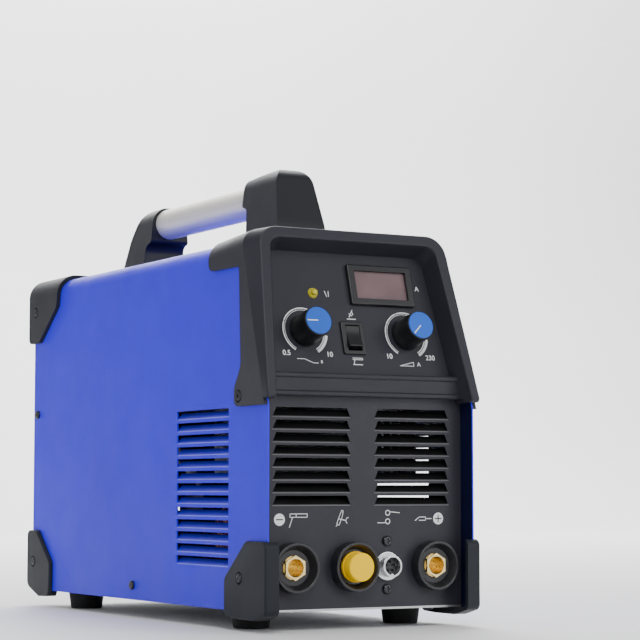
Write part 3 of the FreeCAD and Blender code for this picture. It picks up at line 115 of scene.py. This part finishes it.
def make_light():
    middle = (0, 0, 0.16)
    area_light("key", (-0.9, -2.2, 1.9), middle, (1.2, 1.2), 42)
    area_light("front_fill", (1.7, -2.5, 1.0), middle, (2.2, 1.6), 33)
    area_light("left_fill", (-2.6, -0.4, 1.2), middle, (1.8, 1.2), 8)
    area_light("top", (0.2, 0.2, 2.4), middle, (1.4, 1.8), 22)
    area_light("rear_fill", (0.8, 2.4, 1.4), middle, (1.5, 1.0), 12)
    area_light("backdrop", (1.6, 1.9, 3.6), (1.8, BACKDROP_Y, 1.0), (3.0, 0.8), 420)
    world = bpy.data.worlds.new("studio")
    world.use_nodes = True
    background = world.node_tree.nodes["Background"]
    background.inputs["Color"].default_value = (0.95, 0.96, 1.0, 1)
    background.inputs["Strength"].default_value = 0.36
    bpy.context.scene.world = world


# ---- materials --------------------------------------------------------------------------------

class Look:
    """A node material in the making, textured in the object's own coordinates."""

    def __init__(self, name, metallic=0.0, coat=0.0, specular=0.5):
        self.material = bpy.data.materials.new(name)
        self.material.use_nodes = True
        self.tree = self.material.node_tree
        self.shader = self.tree.nodes["Principled BSDF"]
        self.shader.inputs["Metallic"].default_value = metallic
        self.shader.inputs["Coat Weight"].default_value = coat
        self.shader.inputs["Specular IOR Level"].default_value = specular
        coordinates = self.tree.nodes.new("ShaderNodeTexCoord")
        self.place = coordinates.outputs["Object"]
        self.normal = coordinates.outputs["Normal"]
        self.height = None

    def link(self, source, target):
        self.tree.links.new(source, target)

    def stretched(self, scale):
        """The coordinates, squeezed per axis, for streaks and brushing."""
        mapping = self.tree.nodes.new("ShaderNodeMapping")
        mapping.inputs["Scale"].default_value = scale
        self.link(self.place, mapping.inputs["Vector"])
        return mapping.outputs["Vector"]

    def noise(self, size, detail=2.0, place=None):
        node = self.tree.nodes.new("ShaderNodeTexNoise")
        node.inputs["Scale"].default_value = 1.0 / size
        node.inputs["Detail"].default_value = detail
        self.link(place or self.place, node.inputs["Vector"])
        return node.outputs["Fac"]

    def part_of(self, vector, axis):
        node = self.tree.nodes.new("ShaderNodeSeparateXYZ")
        self.link(vector, node.inputs["Vector"])
        return node.outputs[axis]

    def along(self, axis):
        """One of the object's own coordinates, in metres."""
        return self.part_of(self.place, axis)

    def facing(self, axis):
        """How far the surface looks along one of the object's own axes, -1 to 1."""
        return self.part_of(self.normal, axis)

    def maths(self, operation, first, second=0.0):
        node = self.tree.nodes.new("ShaderNodeMath")
        node.operation = operation
        self.link(first, node.inputs[0])
        if isinstance(second, float):
            node.inputs[1].default_value = second
        else:
            self.link(second, node.inputs[1])
        return node.outputs["Value"]

    def spread(self, value, low, high, start=0.3, end=0.7):
        """Maps a noise value onto a range of numbers."""
        node = self.tree.nodes.new("ShaderNodeMapRange")
        node.inputs["From Min"].default_value = start
        node.inputs["From Max"].default_value = end
        node.inputs["To Min"].default_value = low
        node.inputs["To Max"].default_value = high
        self.link(value, node.inputs["Value"])
        return node.outputs["Result"]

    def blend(self, factor, first, second):
        """Mixes two colours, each a tuple or another node's output."""
        node = self.tree.nodes.new("ShaderNodeMix")
        node.data_type = "RGBA"
        self.link(factor, node.inputs["Factor"])
        for socket, colour in ((node.inputs[6], first), (node.inputs[7], second)):
            if isinstance(colour, tuple):
                socket.default_value = (*colour, 1)
            else:
                self.link(colour, socket)
        return node.outputs[2]

    def colour(self, source):
        self.link(source, self.shader.inputs["Base Color"])

    def roughness(self, source):
        self.link(source, self.shader.inputs["Roughness"])

    def bump(self, value, depth):
        node = self.tree.nodes.new("ShaderNodeBump")
        node.inputs["Strength"].default_value = 1.0
        node.inputs["Distance"].default_value = depth
        self.link(value, node.inputs["Height"])
        if self.height is not None:
            self.link(self.height, node.inputs["Normal"])
        self.height = node.outputs["Normal"]
        self.link(self.height, self.shader.inputs["Normal"])


def shade(colour, factor):
    return tuple(channel * factor for channel in colour)


def depth_below_sides(look):
    """How deep a point of the cover lies under its outer side or top, in metres."""
    side = look.maths("SUBTRACT", look.maths("ABSOLUTE", look.along("X")), cover_high.x)
    top = look.maths("SUBTRACT", look.along("Z"), cover_high.z)
    return look.maths("MULTIPLY", look.maths("MAXIMUM", side, top), -1.0)


def cover_inside_shade(look):
    """1 on the faces of the cover that look into the machine, 0 on those that look out of it. The blue paint turns
    near-black there as painted shade.
    """
    side = look.maths("MULTIPLY", look.maths("SIGN", look.along("X")), look.facing("X"))
    ends = look.maths("ABSOLUTE", look.facing("Y"))
    out = look.maths("MAXIMUM", look.maths("MAXIMUM", side, ends), look.facing("Z"))
    return look.spread(out, 1.0, 0.0, 0.1, 0.4)


BLADES_BELOW_TOP = 50 * MM


def on_blades(look, mask):
    """Limits a mask to the louvre blades, the only low parts of the cover that lean back."""
    leaning = look.spread(look.facing("Z"), 0.0, 1.0, 0.3, 0.5)
    limit = cover_high.z - BLADES_BELOW_TOP
    low = look.spread(look.along("Z"), 1.0, 0.0, limit - 5 * MM, limit)
    return look.maths("MULTIPLY", mask, look.maths("MULTIPLY", leaning, low))


# Painted shade: the louvre blades turn a darker blue the deeper they lie behind the cover's sides.
def blade_painted_shade(look):
    return on_blades(look, look.spread(depth_below_sides(look), 0.25, 0.85, 0.5 * MM, 3.2 * MM))


# Painted highlight: a pale line along the root of each louvre blade.
def blade_root_highlight(look):
    return on_blades(look, look.spread(depth_below_sides(look), 0.8, 0.0, 0.4 * MM, 0.7 * MM))


def depth_behind_panel(look):
    """How deep a point lies behind the front panel's face, in metres."""
    return look.maths("SUBTRACT", look.along("Y"), panel_low.y)


# Painted highlight: a lighter grey band just behind the front panel's face, at the vents' lips.
def vent_lip_highlight(look):
    return look.spread(depth_behind_panel(look), 0.0, 0.8, 0.1 * MM, 0.3 * MM)


# Painted shade: near-black on everything deeper than about a millimetre behind the front panel's face.
def vent_inside_shade(look):
    return look.spread(depth_behind_panel(look), 0.0, 1.0, 0.7 * MM, 1.3 * MM)


def powder_coat(name, colour, rough=0.42, specular=0.3, layers=()):
    """Baked powder paint: faint orange peel, slow drift in tone, a little dust.

    Each layer is a mask and the colour painted under it; the layers given in this script are painted shade and
    painted highlights.
    """
    look = Look(name, specular=specular)
    drift = look.spread(look.noise(0.11, 3.0), 0.0, 1.0)
    base = look.blend(drift, shade(colour, 0.95), shade(colour, 1.05))
    speck = look.spread(look.noise(0.0016, 1.0), 0.0, 0.10, 0.62, 0.74)
    base = look.blend(speck, base, shade(colour, 1.5))
    for mask, other in layers:
        base = look.blend(mask(look), base, other)
    look.colour(base)
    look.roughness(look.spread(look.noise(0.03, 3.0), rough - 0.05, rough + 0.06))
    look.bump(look.noise(0.0011, 2.0), 0.00006)
    look.bump(look.noise(0.006, 1.0), 0.00005)
    return look.material


def moulded(name, colour, rough=0.5, grain=0.0006, depth=0.00007, specular=0.3):
    """Spark-textured moulded plastic with rubbed, slightly shinier patches."""
    look = Look(name, specular=specular)
    drift = look.spread(look.noise(0.08, 2.0), 0.0, 1.0)
    base = look.blend(drift, shade(colour, 0.93), shade(colour, 1.07))
    dust = look.spread(look.noise(0.0022, 3.0), 0.0, 0.10, 0.6, 0.78)
    look.colour(look.blend(dust, base, shade(colour, 1.8)))
    look.roughness(look.spread(look.noise(0.03, 3.0), rough - 0.03, rough + 0.04))
    look.bump(look.noise(grain, 3.0), depth)
    return look.material


def metal(name, colour, rough=0.25, streaks=(400, 400, 400), depth=0.00002, metallic=1.0):
    """Bare or plated metal with fine tool marks along the stretched axis."""
    look = Look(name, metallic=metallic)
    lines = look.noise(1.0, 4.0, look.stretched(streaks))
    look.colour(look.blend(look.spread(lines, 0.0, 1.0), shade(colour, 0.86), colour))
    look.roughness(look.spread(look.noise(1.0, 3.0, look.stretched(streaks)), rough - 0.07, rough + 0.09))
    look.bump(lines, depth)
    return look.material


def threaded(name, colour, pitch, rough=0.16):
    """Plated metal with thread crests along Y."""
    look = Look(name, metallic=1.0)
    wave = look.tree.nodes.new("ShaderNodeTexWave")
    wave.bands_direction = "Y"
    wave.inputs["Scale"].default_value = 0.314 / pitch
    look.link(look.place, wave.inputs["Vector"])
    tone = look.spread(look.noise(0.004, 3.0), 0.0, 1.0)
    look.colour(look.blend(tone, shade(colour, 0.85), colour))
    look.roughness(look.spread(look.noise(0.006, 2.0), rough - 0.05, rough + 0.08))
    look.bump(wave.outputs["Fac"], 0.00018)
    return look.material


def lens(name, colour, rough=0.12, transmission=0.0, coat=0.5, specular=0.5):
    look = Look(name, coat=coat, specular=specular)
    look.shader.inputs["Transmission Weight"].default_value = transmission
    tone = look.spread(look.noise(0.02, 2.0), 0.0, 1.0)
    look.colour(look.blend(tone, shade(colour, 0.9), shade(colour, 1.08)))
    look.roughness(look.spread(look.noise(0.01, 3.0), rough, rough + 0.08))
    look.bump(look.noise(0.004, 2.0), 0.00002)
    return look.material


def circuit(name):
    """Green solder mask with lighter tracks and pads."""
    look = Look(name, coat=0.3)
    brick = look.tree.nodes.new("ShaderNodeTexVoronoi")
    brick.inputs["Scale"].default_value = 260.0
    look.link(look.place, brick.inputs["Vector"])
    tracks = look.spread(brick.outputs["Distance"], 1.0, 0.0, 0.0, 0.25)
    look.colour(look.blend(tracks, (0.02, 0.13, 0.05), (0.4, 0.38, 0.3)))
    look.roughness(look.spread(look.noise(0.01), 0.3, 0.45))
    look.bump(brick.outputs["Distance"], 0.0001)
    return look.material


def wound(name, colour, across):
    """Enamelled wire laid side by side."""
    look = Look(name, metallic=0.7, coat=0.4)
    wave = look.tree.nodes.new("ShaderNodeTexWave")
    wave.bands_direction = across
    wave.inputs["Scale"].default_value = 180.0
    wave.inputs["Distortion"].default_value = 0.6
    look.link(look.place, wave.inputs["Vector"])
    look.colour(look.blend(look.spread(wave.outputs["Fac"], 0.0, 1.0), shade(colour, 0.5), colour))
    look.roughness(look.spread(look.noise(0.01), 0.25, 0.4))
    look.bump(wave.outputs["Fac"], 0.0004)
    return look.material


BLUE = (0.027, 0.014, 0.76)
# Painted shade: near-black painted on the cover's inward-looking faces.
INSIDE_PAINTED_SHADE = (0.004, 0.005, 0.03)
# Painted shade on the louvre blades.
BLADE_SHADE_BLUE = (0.010, 0.008, 0.20)
# Painted highlight at the louvre blade roots.
BLADE_HIGHLIGHT_BLUE = (0.24, 0.24, 0.88)
BLACK_PAINT = (0.0225, 0.0225, 0.031)
# Painted shade inside the front vents.
VENT_PAINTED_SHADE = (0.0015, 0.0015, 0.002)
# Painted highlight on the front vents' lips.
VENT_LIP_HIGHLIGHT = (0.17, 0.17, 0.18)
SOFT_BLACK = (0.0185, 0.019, 0.0265)
MATERIALS = {
    # The blue paint carries painted shade on its inside faces and louvre blades, and a painted highlight at the
    # blade roots.
    "blue_paint": powder_coat("blue_paint", BLUE, 0.42, 0.16, (
        (cover_inside_shade, INSIDE_PAINTED_SHADE), (blade_painted_shade, BLADE_SHADE_BLUE), (blade_root_highlight, BLADE_HIGHLIGHT_BLUE))),
    "black_paint": powder_coat("black_paint", BLACK_PAINT, 0.44),
    "grey_zinc": metal("grey_zinc", (0.55, 0.56, 0.57), 0.4, (60, 60, 60)),
    "hood_plastic": moulded("hood_plastic", SOFT_BLACK, 0.46),
    "guard_plastic": moulded("guard_plastic", (0.015, 0.017, 0.022), 0.5, 0.0006, 0.00007, 0.2),
    "handle_plastic": moulded("handle_plastic", (0.011, 0.012, 0.016), 0.42),
    "rubber": moulded("rubber", (0.012, 0.012, 0.013), 0.7, 0.0009, 0.0001, 0.3),
    "anodised_aluminium": metal("anodised_aluminium", (0.96, 0.94, 0.84), 0.5, (700, 9, 700), 0.00003, 0.5),
    "screw_steel": metal("screw_steel", (0.06, 0.06, 0.065), 0.32, (900, 900, 900)),
    "bright_steel": metal("bright_steel", (0.62, 0.62, 0.64), 0.28, (300, 300, 300)),
    "knob_plastic": moulded("knob_plastic", (0.006, 0.0063, 0.008), 0.36, 0.0008, 0.00003),
    "blue_cap": moulded("blue_cap", (0.014, 0.100, 0.52), 0.42, 0.0008, 0.00002, 0.25),
    "switch_plastic": moulded("switch_plastic", (0.007, 0.007, 0.009), 0.34, 0.001, 0.00002, 0.45),
    "meter_window": lens("meter_window", (0.15, 0.098, 0.105), 0.3, 0.0, 0.0, 0.25),
    "led_lens": lens("led_lens", (0.62, 0.54, 0.03), 0.15, 0.2),
    "brass": metal("brass", (0.93, 0.74, 0.34), 0.24, (300, 300, 300), 0.000004),
    "yellow_cap": moulded("yellow_cap", (1.0, 0.62, 0.0), 0.5, 0.0007, 0.00004, 0.04),
    "socket_plastic": moulded("socket_plastic", (0.013, 0.0135, 0.017), 0.30, 0.0009, 0.00002, 0.5),
    "chrome": threaded("chrome", (0.80, 0.80, 0.82), 0.001),
    "circuit_board": circuit("circuit_board"),
    "heatsink_aluminium": metal("heatsink_aluminium", (0.80, 0.81, 0.82), 0.3, (400, 8, 400)),
    "ferrite": moulded("ferrite", (0.03, 0.03, 0.032), 0.6, 0.001, 0.0001),
    "copper": wound("copper", (0.80, 0.36, 0.16), "X"),
    "capacitor_sleeve": moulded("capacitor_sleeve", (0.02, 0.025, 0.05), 0.25, 0.002, 0.00002, 0.5),
    "hose": moulded("hose", (0.03, 0.035, 0.05), 0.4, 0.002, 0.00003),
    "fan_plastic": moulded("fan_plastic", (0.012, 0.012, 0.013), 0.45),
}


def dress(piece, slot):
    piece.data.materials.clear()
    piece.data.materials.append(MATERIALS[slot])


def dress_nodes():
    for subpart in frame["record"]["subparts"]:
        dress(NODES[subpart["node"]], subpart["material_slot"])
    # Painted highlight at the vents' lips and painted shade inside the vents.
    layers = ((vent_lip_highlight, VENT_LIP_HIGHLIGHT), (vent_inside_shade, VENT_PAINTED_SHADE))
    vents = powder_coat("vent_paint_with_painted_light", BLACK_PAINT, 0.44, 0.3, layers)
    NODES["front_panel"].data.materials[0] = vents


# ---- mesh helpers -----------------------------------------------------------------------------

def add_piece(name, mesh, slot, body=MACHINE, material=None):
    piece = bpy.data.objects.new(name, mesh)
    bpy.context.scene.collection.objects.link(piece)
    piece.data.materials.append(material or MATERIALS[slot])
    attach(piece, body)
    return piece


# ---- printed marks ----------------------------------------------------------------------------

INK_HEIGHT = 0.08 * MM
DARK_INK_HEIGHT = 0.12 * MM
SYMBOL_ROW = 34.0       # millimetres above the sockets' centre line
SIGNS_X = (-68.5, 64.5)
MODE_X = -2.0
FIRST_CLOCK = -148      # degrees from 12 o'clock, where a dial's arc starts


class Print:
    """Ink on a flat face. Marks are given in millimetres right and up from a point on it."""

    def __init__(self, name, origin, right, up, height=INK_HEIGHT):
        self.name = name
        self.height = height
        self.mesh = bmesh.new()
        self.origin = origin
        self.right = right
        self.up = up
        self.out = right.cross(up)

    def at(self, x, y, lift):
        return self.origin + self.right * (x * MM) + self.up * (y * MM) + self.out * lift

    def patch(self, corners):
        """A filled outline, standing a hair above the face."""
        top = [self.mesh.verts.new(self.at(x, y, self.height)) for x, y in corners]
        low = [self.mesh.verts.new(self.at(x, y, -self.height)) for x, y in corners]
        self.mesh.faces.new(top)
        self.mesh.faces.new(list(reversed(low)))
        for index in range(len(corners)):
            other = (index + 1) % len(corners)
            self.mesh.faces.new((low[index], low[other], top[other], top[index]))

    def line(self, points, width=0.5):
        """A polyline made of one small patch per stretch."""
        for (x0, y0), (x1, y1) in zip(points, points[1:]):
            length = math.hypot(x1 - x0, y1 - y0)
            side_x = -(y1 - y0) / length * width / 2
            side_y = (x1 - x0) / length * width / 2
            end_x = (x1 - x0) / length * width * 0.3
            end_y = (y1 - y0) / length * width * 0.3
            self.patch([
                (x0 - end_x - side_x, y0 - end_y - side_y), (x1 + end_x - side_x, y1 + end_y - side_y),
                (x1 + end_x + side_x, y1 + end_y + side_y), (x0 - end_x + side_x, y0 - end_y + side_y),
            ])

    def ring(self, x, y, inner, outer, start=0.0, end=360.0, steps=48):
        """Part of a ring, clockwise from 12 o'clock."""
        for index in range(steps):
            corners = []
            spots = ((index, inner), (index + 1, inner), (index + 1, outer), (index, outer))
            for turn, radius in spots:
                angle = math.radians(start + (end - start) * (turn / steps))
                corners.append((x + radius * math.sin(angle), y + radius * math.cos(angle)))
            self.patch(list(reversed(corners)))

    def disc(self, x, y, radius):
        self.ring(x, y, 0.01, radius)

    def text(self, words, x, y, size):
        """Plain characters, centred on a point."""
        curve = bpy.data.curves.new("characters", "FONT")
        curve.body = words
        curve.size = size * MM
        curve.align_x = "CENTER"
        curve.align_y = "CENTER"
        curve.extrude = self.height
        curve.offset = 0.06 * MM
        helper = bpy.data.objects.new("characters", curve)
        bpy.context.scene.collection.objects.link(helper)
        turn = Matrix((self.right, self.up, self.out)).transposed().to_4x4()
        helper.matrix_world = Matrix.Translation(self.at(x, y, 0)) @ turn
        bpy.context.view_layer.update()
        depsgraph = bpy.context.evaluated_depsgraph_get()
        shape = bpy.data.meshes.new_from_object(helper.evaluated_get(depsgraph))
        shape.transform(helper.matrix_world)
        self.mesh.from_mesh(shape)
        bpy.data.objects.remove(helper)

    def done(self, body=MACHINE, material=None):
        bmesh.ops.recalc_face_normals(self.mesh, faces=self.mesh.faces)
        mesh = bpy.data.meshes.new(self.name)
        self.mesh.to_mesh(mesh)
        self.mesh.free()
        return add_piece(self.name, mesh, "blue_cap", body, material or INK)


def ink():
    look = Look("white_ink", specular=0.4)
    worn = look.spread(look.noise(0.0012, 3.0), 0.0, 0.35, 0.5, 0.75)
    look.colour(look.blend(worn, (0.78, 0.79, 0.80), (0.45, 0.46, 0.48)))
    look.roughness(look.spread(look.noise(0.004), 0.4, 0.6))
    return look.material


INK = ink()


def print_dial(sheet, x, low_number, high_number):
    """A double arc from 7 o'clock to 5 o'clock that widens into one band at its end."""
    sheet.ring(x, 0, 15.8, 16.15, FIRST_CLOCK, 96, 40)
    for start, end in ((FIRST_CLOCK, -66), (-64, -22), (-20, 40)):
        sheet.ring(x, 0, 16.9, 17.8, start, end, 14)
    sheet.ring(x, 0, 15.6, 16.4, 100, 150, 10)
    sheet.ring(x, 0, 16.9, 19.0, 100, 150, 10)
    sheet.text(low_number, x - 17.0, -17.4, 5.4)
    sheet.text(high_number, x + 18.4, -17.6, 5.4)


def print_control_panel():
    origin = (DIALS["post_time"] + DIALS["current"]) / 2
    half = DIALS["current"].x
    sheet = Print("control_panel_print", origin, RIGHT, PANEL_UP)
    across = half / MM
    print_dial(sheet, -across, "0.5", "10")
    print_dial(sheet, across, "10", "230")
    # gas flow falling off over time, in seconds
    falling = [(-9, -21.5), (-3, -21.5), (4, -24.4), (8, -24.4)]
    sheet.line([(x - across, y) for x, y in falling], 0.45)
    sheet.text("s", -across + 11, -23.0, 4.6)
    # current rising, in amperes
    rising = [(-9, -24.4), (3, -21.4), (3, -24.4), (-9, -24.4)]
    sheet.line([(across + x, y) for x, y in rising], 0.45)
    sheet.text("A", across + 7.5, -23.0, 4.6)
    # welding mode: torch above the rocker, stick electrode below it
    mode = MODE_X
    sheet.line([(mode - 3.6, 10.6), (mode + 3.6, 10.6)], 0.6)
    sheet.line([(mode - 1.6, 12.2), (mode + 1.6, 17.6)], 0.6)
    sheet.line([(mode - 1.4, 14.8), (mode + 0.4, 13.2), (mode + 2.0, 14.4), (mode + 1.2, 16.2)], 0.5)
    sheet.line([(mode - 3.6, -24.6), (mode + 4.0, -24.6)], 0.6)
    sheet.line([(mode - 3.6, -19.6), (mode + 4.6, -19.6), (mode + 4.6, -20.8), (mode - 3.6, -20.8)], 0.45)
    sheet.line([(mode - 2.0, -20.8), (mode - 3.0, -24.2)], 0.5)
    # heat mark beside the lamp
    sheet.line([(-21.6, 31.6), (-20.2, 27.4)], 0.5)
    sheet.line([(-18.4, 31.6), (-18.6, 27.4)], 0.5)
    sheet.text("A", 59.0, 37.0, 5.2)
    sheet.done()


def print_front_panel():
    socket = centre("positive_socket_body")
    origin = Vector((0, panel_low.y, socket.z))
    sheet = Print("front_panel_print", origin, RIGHT, UP)
    row = SYMBOL_ROW
    signs = Print("polarity_signs", origin, RIGHT, UP, DARK_INK_HEIGHT)
    for x in SIGNS_X:
        sheet.disc(x, row, 4.3)
        signs.line([(x - 2.6, row), (x + 2.6, row)], 0.9)
    signs.line([(SIGNS_X[1], row - 2.6), (SIGNS_X[1], row + 2.6)], 0.9)
    signs.done(material=MATERIALS["switch_plastic"])
    # electrode holder
    holder = [(-60, 4), (-46, 4), (-46, 1.6), (-60, 1.6), (-60, 4)]
    sheet.line([(x, row + y) for x, y in holder], 0.5)
    sheet.line([(-55, row + 4), (-55, row + 1.6)], 0.5)
    sheet.line([(-58, row + 1.4), (-60.5, row - 5.5)], 0.5)
    # torch
    body = [(-21.8, -3.4), (-19.4, 2.6), (-17.6, 6.4), (-16.4, 6.0), (-17.2, 1.8), (-19.8, -4.2)]
    sheet.line([(x, row + y) for x, y in body + body[:1]], 0.5)
    sheet.line([(-22.4, row - 5.0), (-20.8, row - 3.8)], 0.5)
    sheet.line([(-20.4, row + 0.6), (-18.0, row - 0.4)], 0.5)
    sheet.line([(-17.4, row - 0.2), (-14.2, row - 1.0)], 0.6)
    sheet.ring(-11.9, row - 1.0, 2.0, 2.5, -150, 0, 10)
    # torch switch
    sheet.ring(21, row + 4.4, 1.5, 2.1, 0, 360, 20)
    sheet.ring(21, row - 1.8, 1.5, 2.1, 0, 360, 20)
    sheet.line([(22.6, row + 5.2), (31, row + 4.4)], 0.5)
    sheet.line([(12.5, row - 2.8), (20, row - 2.8)], 0.5)
    # work clamp
    clamp = [(44.5, -1.4), (48, 1.2), (53.5, 1.2), (53.5, -1.2), (48, -1.2)]
    sheet.line([(x, row + y) for x, y in clamp], 0.5)
    sheet.line([(53.5, row), (58.5, row)], 0.6)
    sheet.done()


def print_pointer(dial, clock_degrees):
    """The white line across a dial's cap, lying in the cap's groove."""
    cap = dial + "_knob_cap"
    face = reach(cap, PANEL_OUT) - DIALS[dial].dot(PANEL_OUT)
    origin = DIALS[dial] + PANEL_OUT * (face - 0.25 * MM)
    sheet = Print(dial + "_pointer", origin, RIGHT, PANEL_UP, 0.15 * MM)
    angle = math.radians(clock_degrees)
    across, along = math.sin(angle), math.cos(angle)
    sheet.line([(0.9 * across, 0.9 * along), (9.0 * across, 9.0 * along)], 0.8)
    sheet.done(dial + "_dial")


# ---- assembly ---------------------------------------------------------------------------------

def make_floor():
    """A pale floor that sweeps up into a backdrop far behind the machine."""
    half = 9.0
    bend = 1.2
    steps = 12
    height = 6.0
    rows = [(BACKDROP_Y - bend, 0.0)]
    for step in range(1, steps + 1):
        angle = math.radians(90 * step / steps)
        rows.append((BACKDROP_Y - bend + bend * math.sin(angle), bend - bend * math.cos(angle)))
    rows.append((BACKDROP_Y, height))
    front = -half
    corners = [(-half, front, 0.0), (half, front, 0.0), (half, rows[0][0], 0.0), (-half, rows[0][0], 0.0)]
    faces = [(0, 1, 2, 3)]
    for y, z in rows:
        corners += [(BACKDROP_LEFT, y, z), (half, y, z)]
    for row in range(2, len(rows) + 1):
        faces.append((2 * row, 2 * row + 1, 2 * row + 3, 2 * row + 2))
    mesh = bpy.data.meshes.new("floor")
    mesh.from_pydata(corners, [], faces)
    mesh.polygons.foreach_set("use_smooth", [True] * len(mesh.polygons))
    floor = bpy.data.objects.new("floor", mesh)
    bpy.context.scene.collection.objects.link(floor)
    look = Look("pale_floor", specular=0.2)
    tone = look.spread(look.noise(0.6, 3.0), 0.0, 1.0)
    look.colour(look.blend(tone, (0.82, 0.82, 0.83), (0.85, 0.85, 0.86)))
    look.roughness(look.spread(look.noise(0.4), 0.6, 0.7))
    floor.data.materials.append(look.material)


make_camera()
make_light()
make_floor()
dress_nodes()
print_control_panel()
print_front_panel()
print_pointer("post_time", 270)
print_pointer("current", 225)
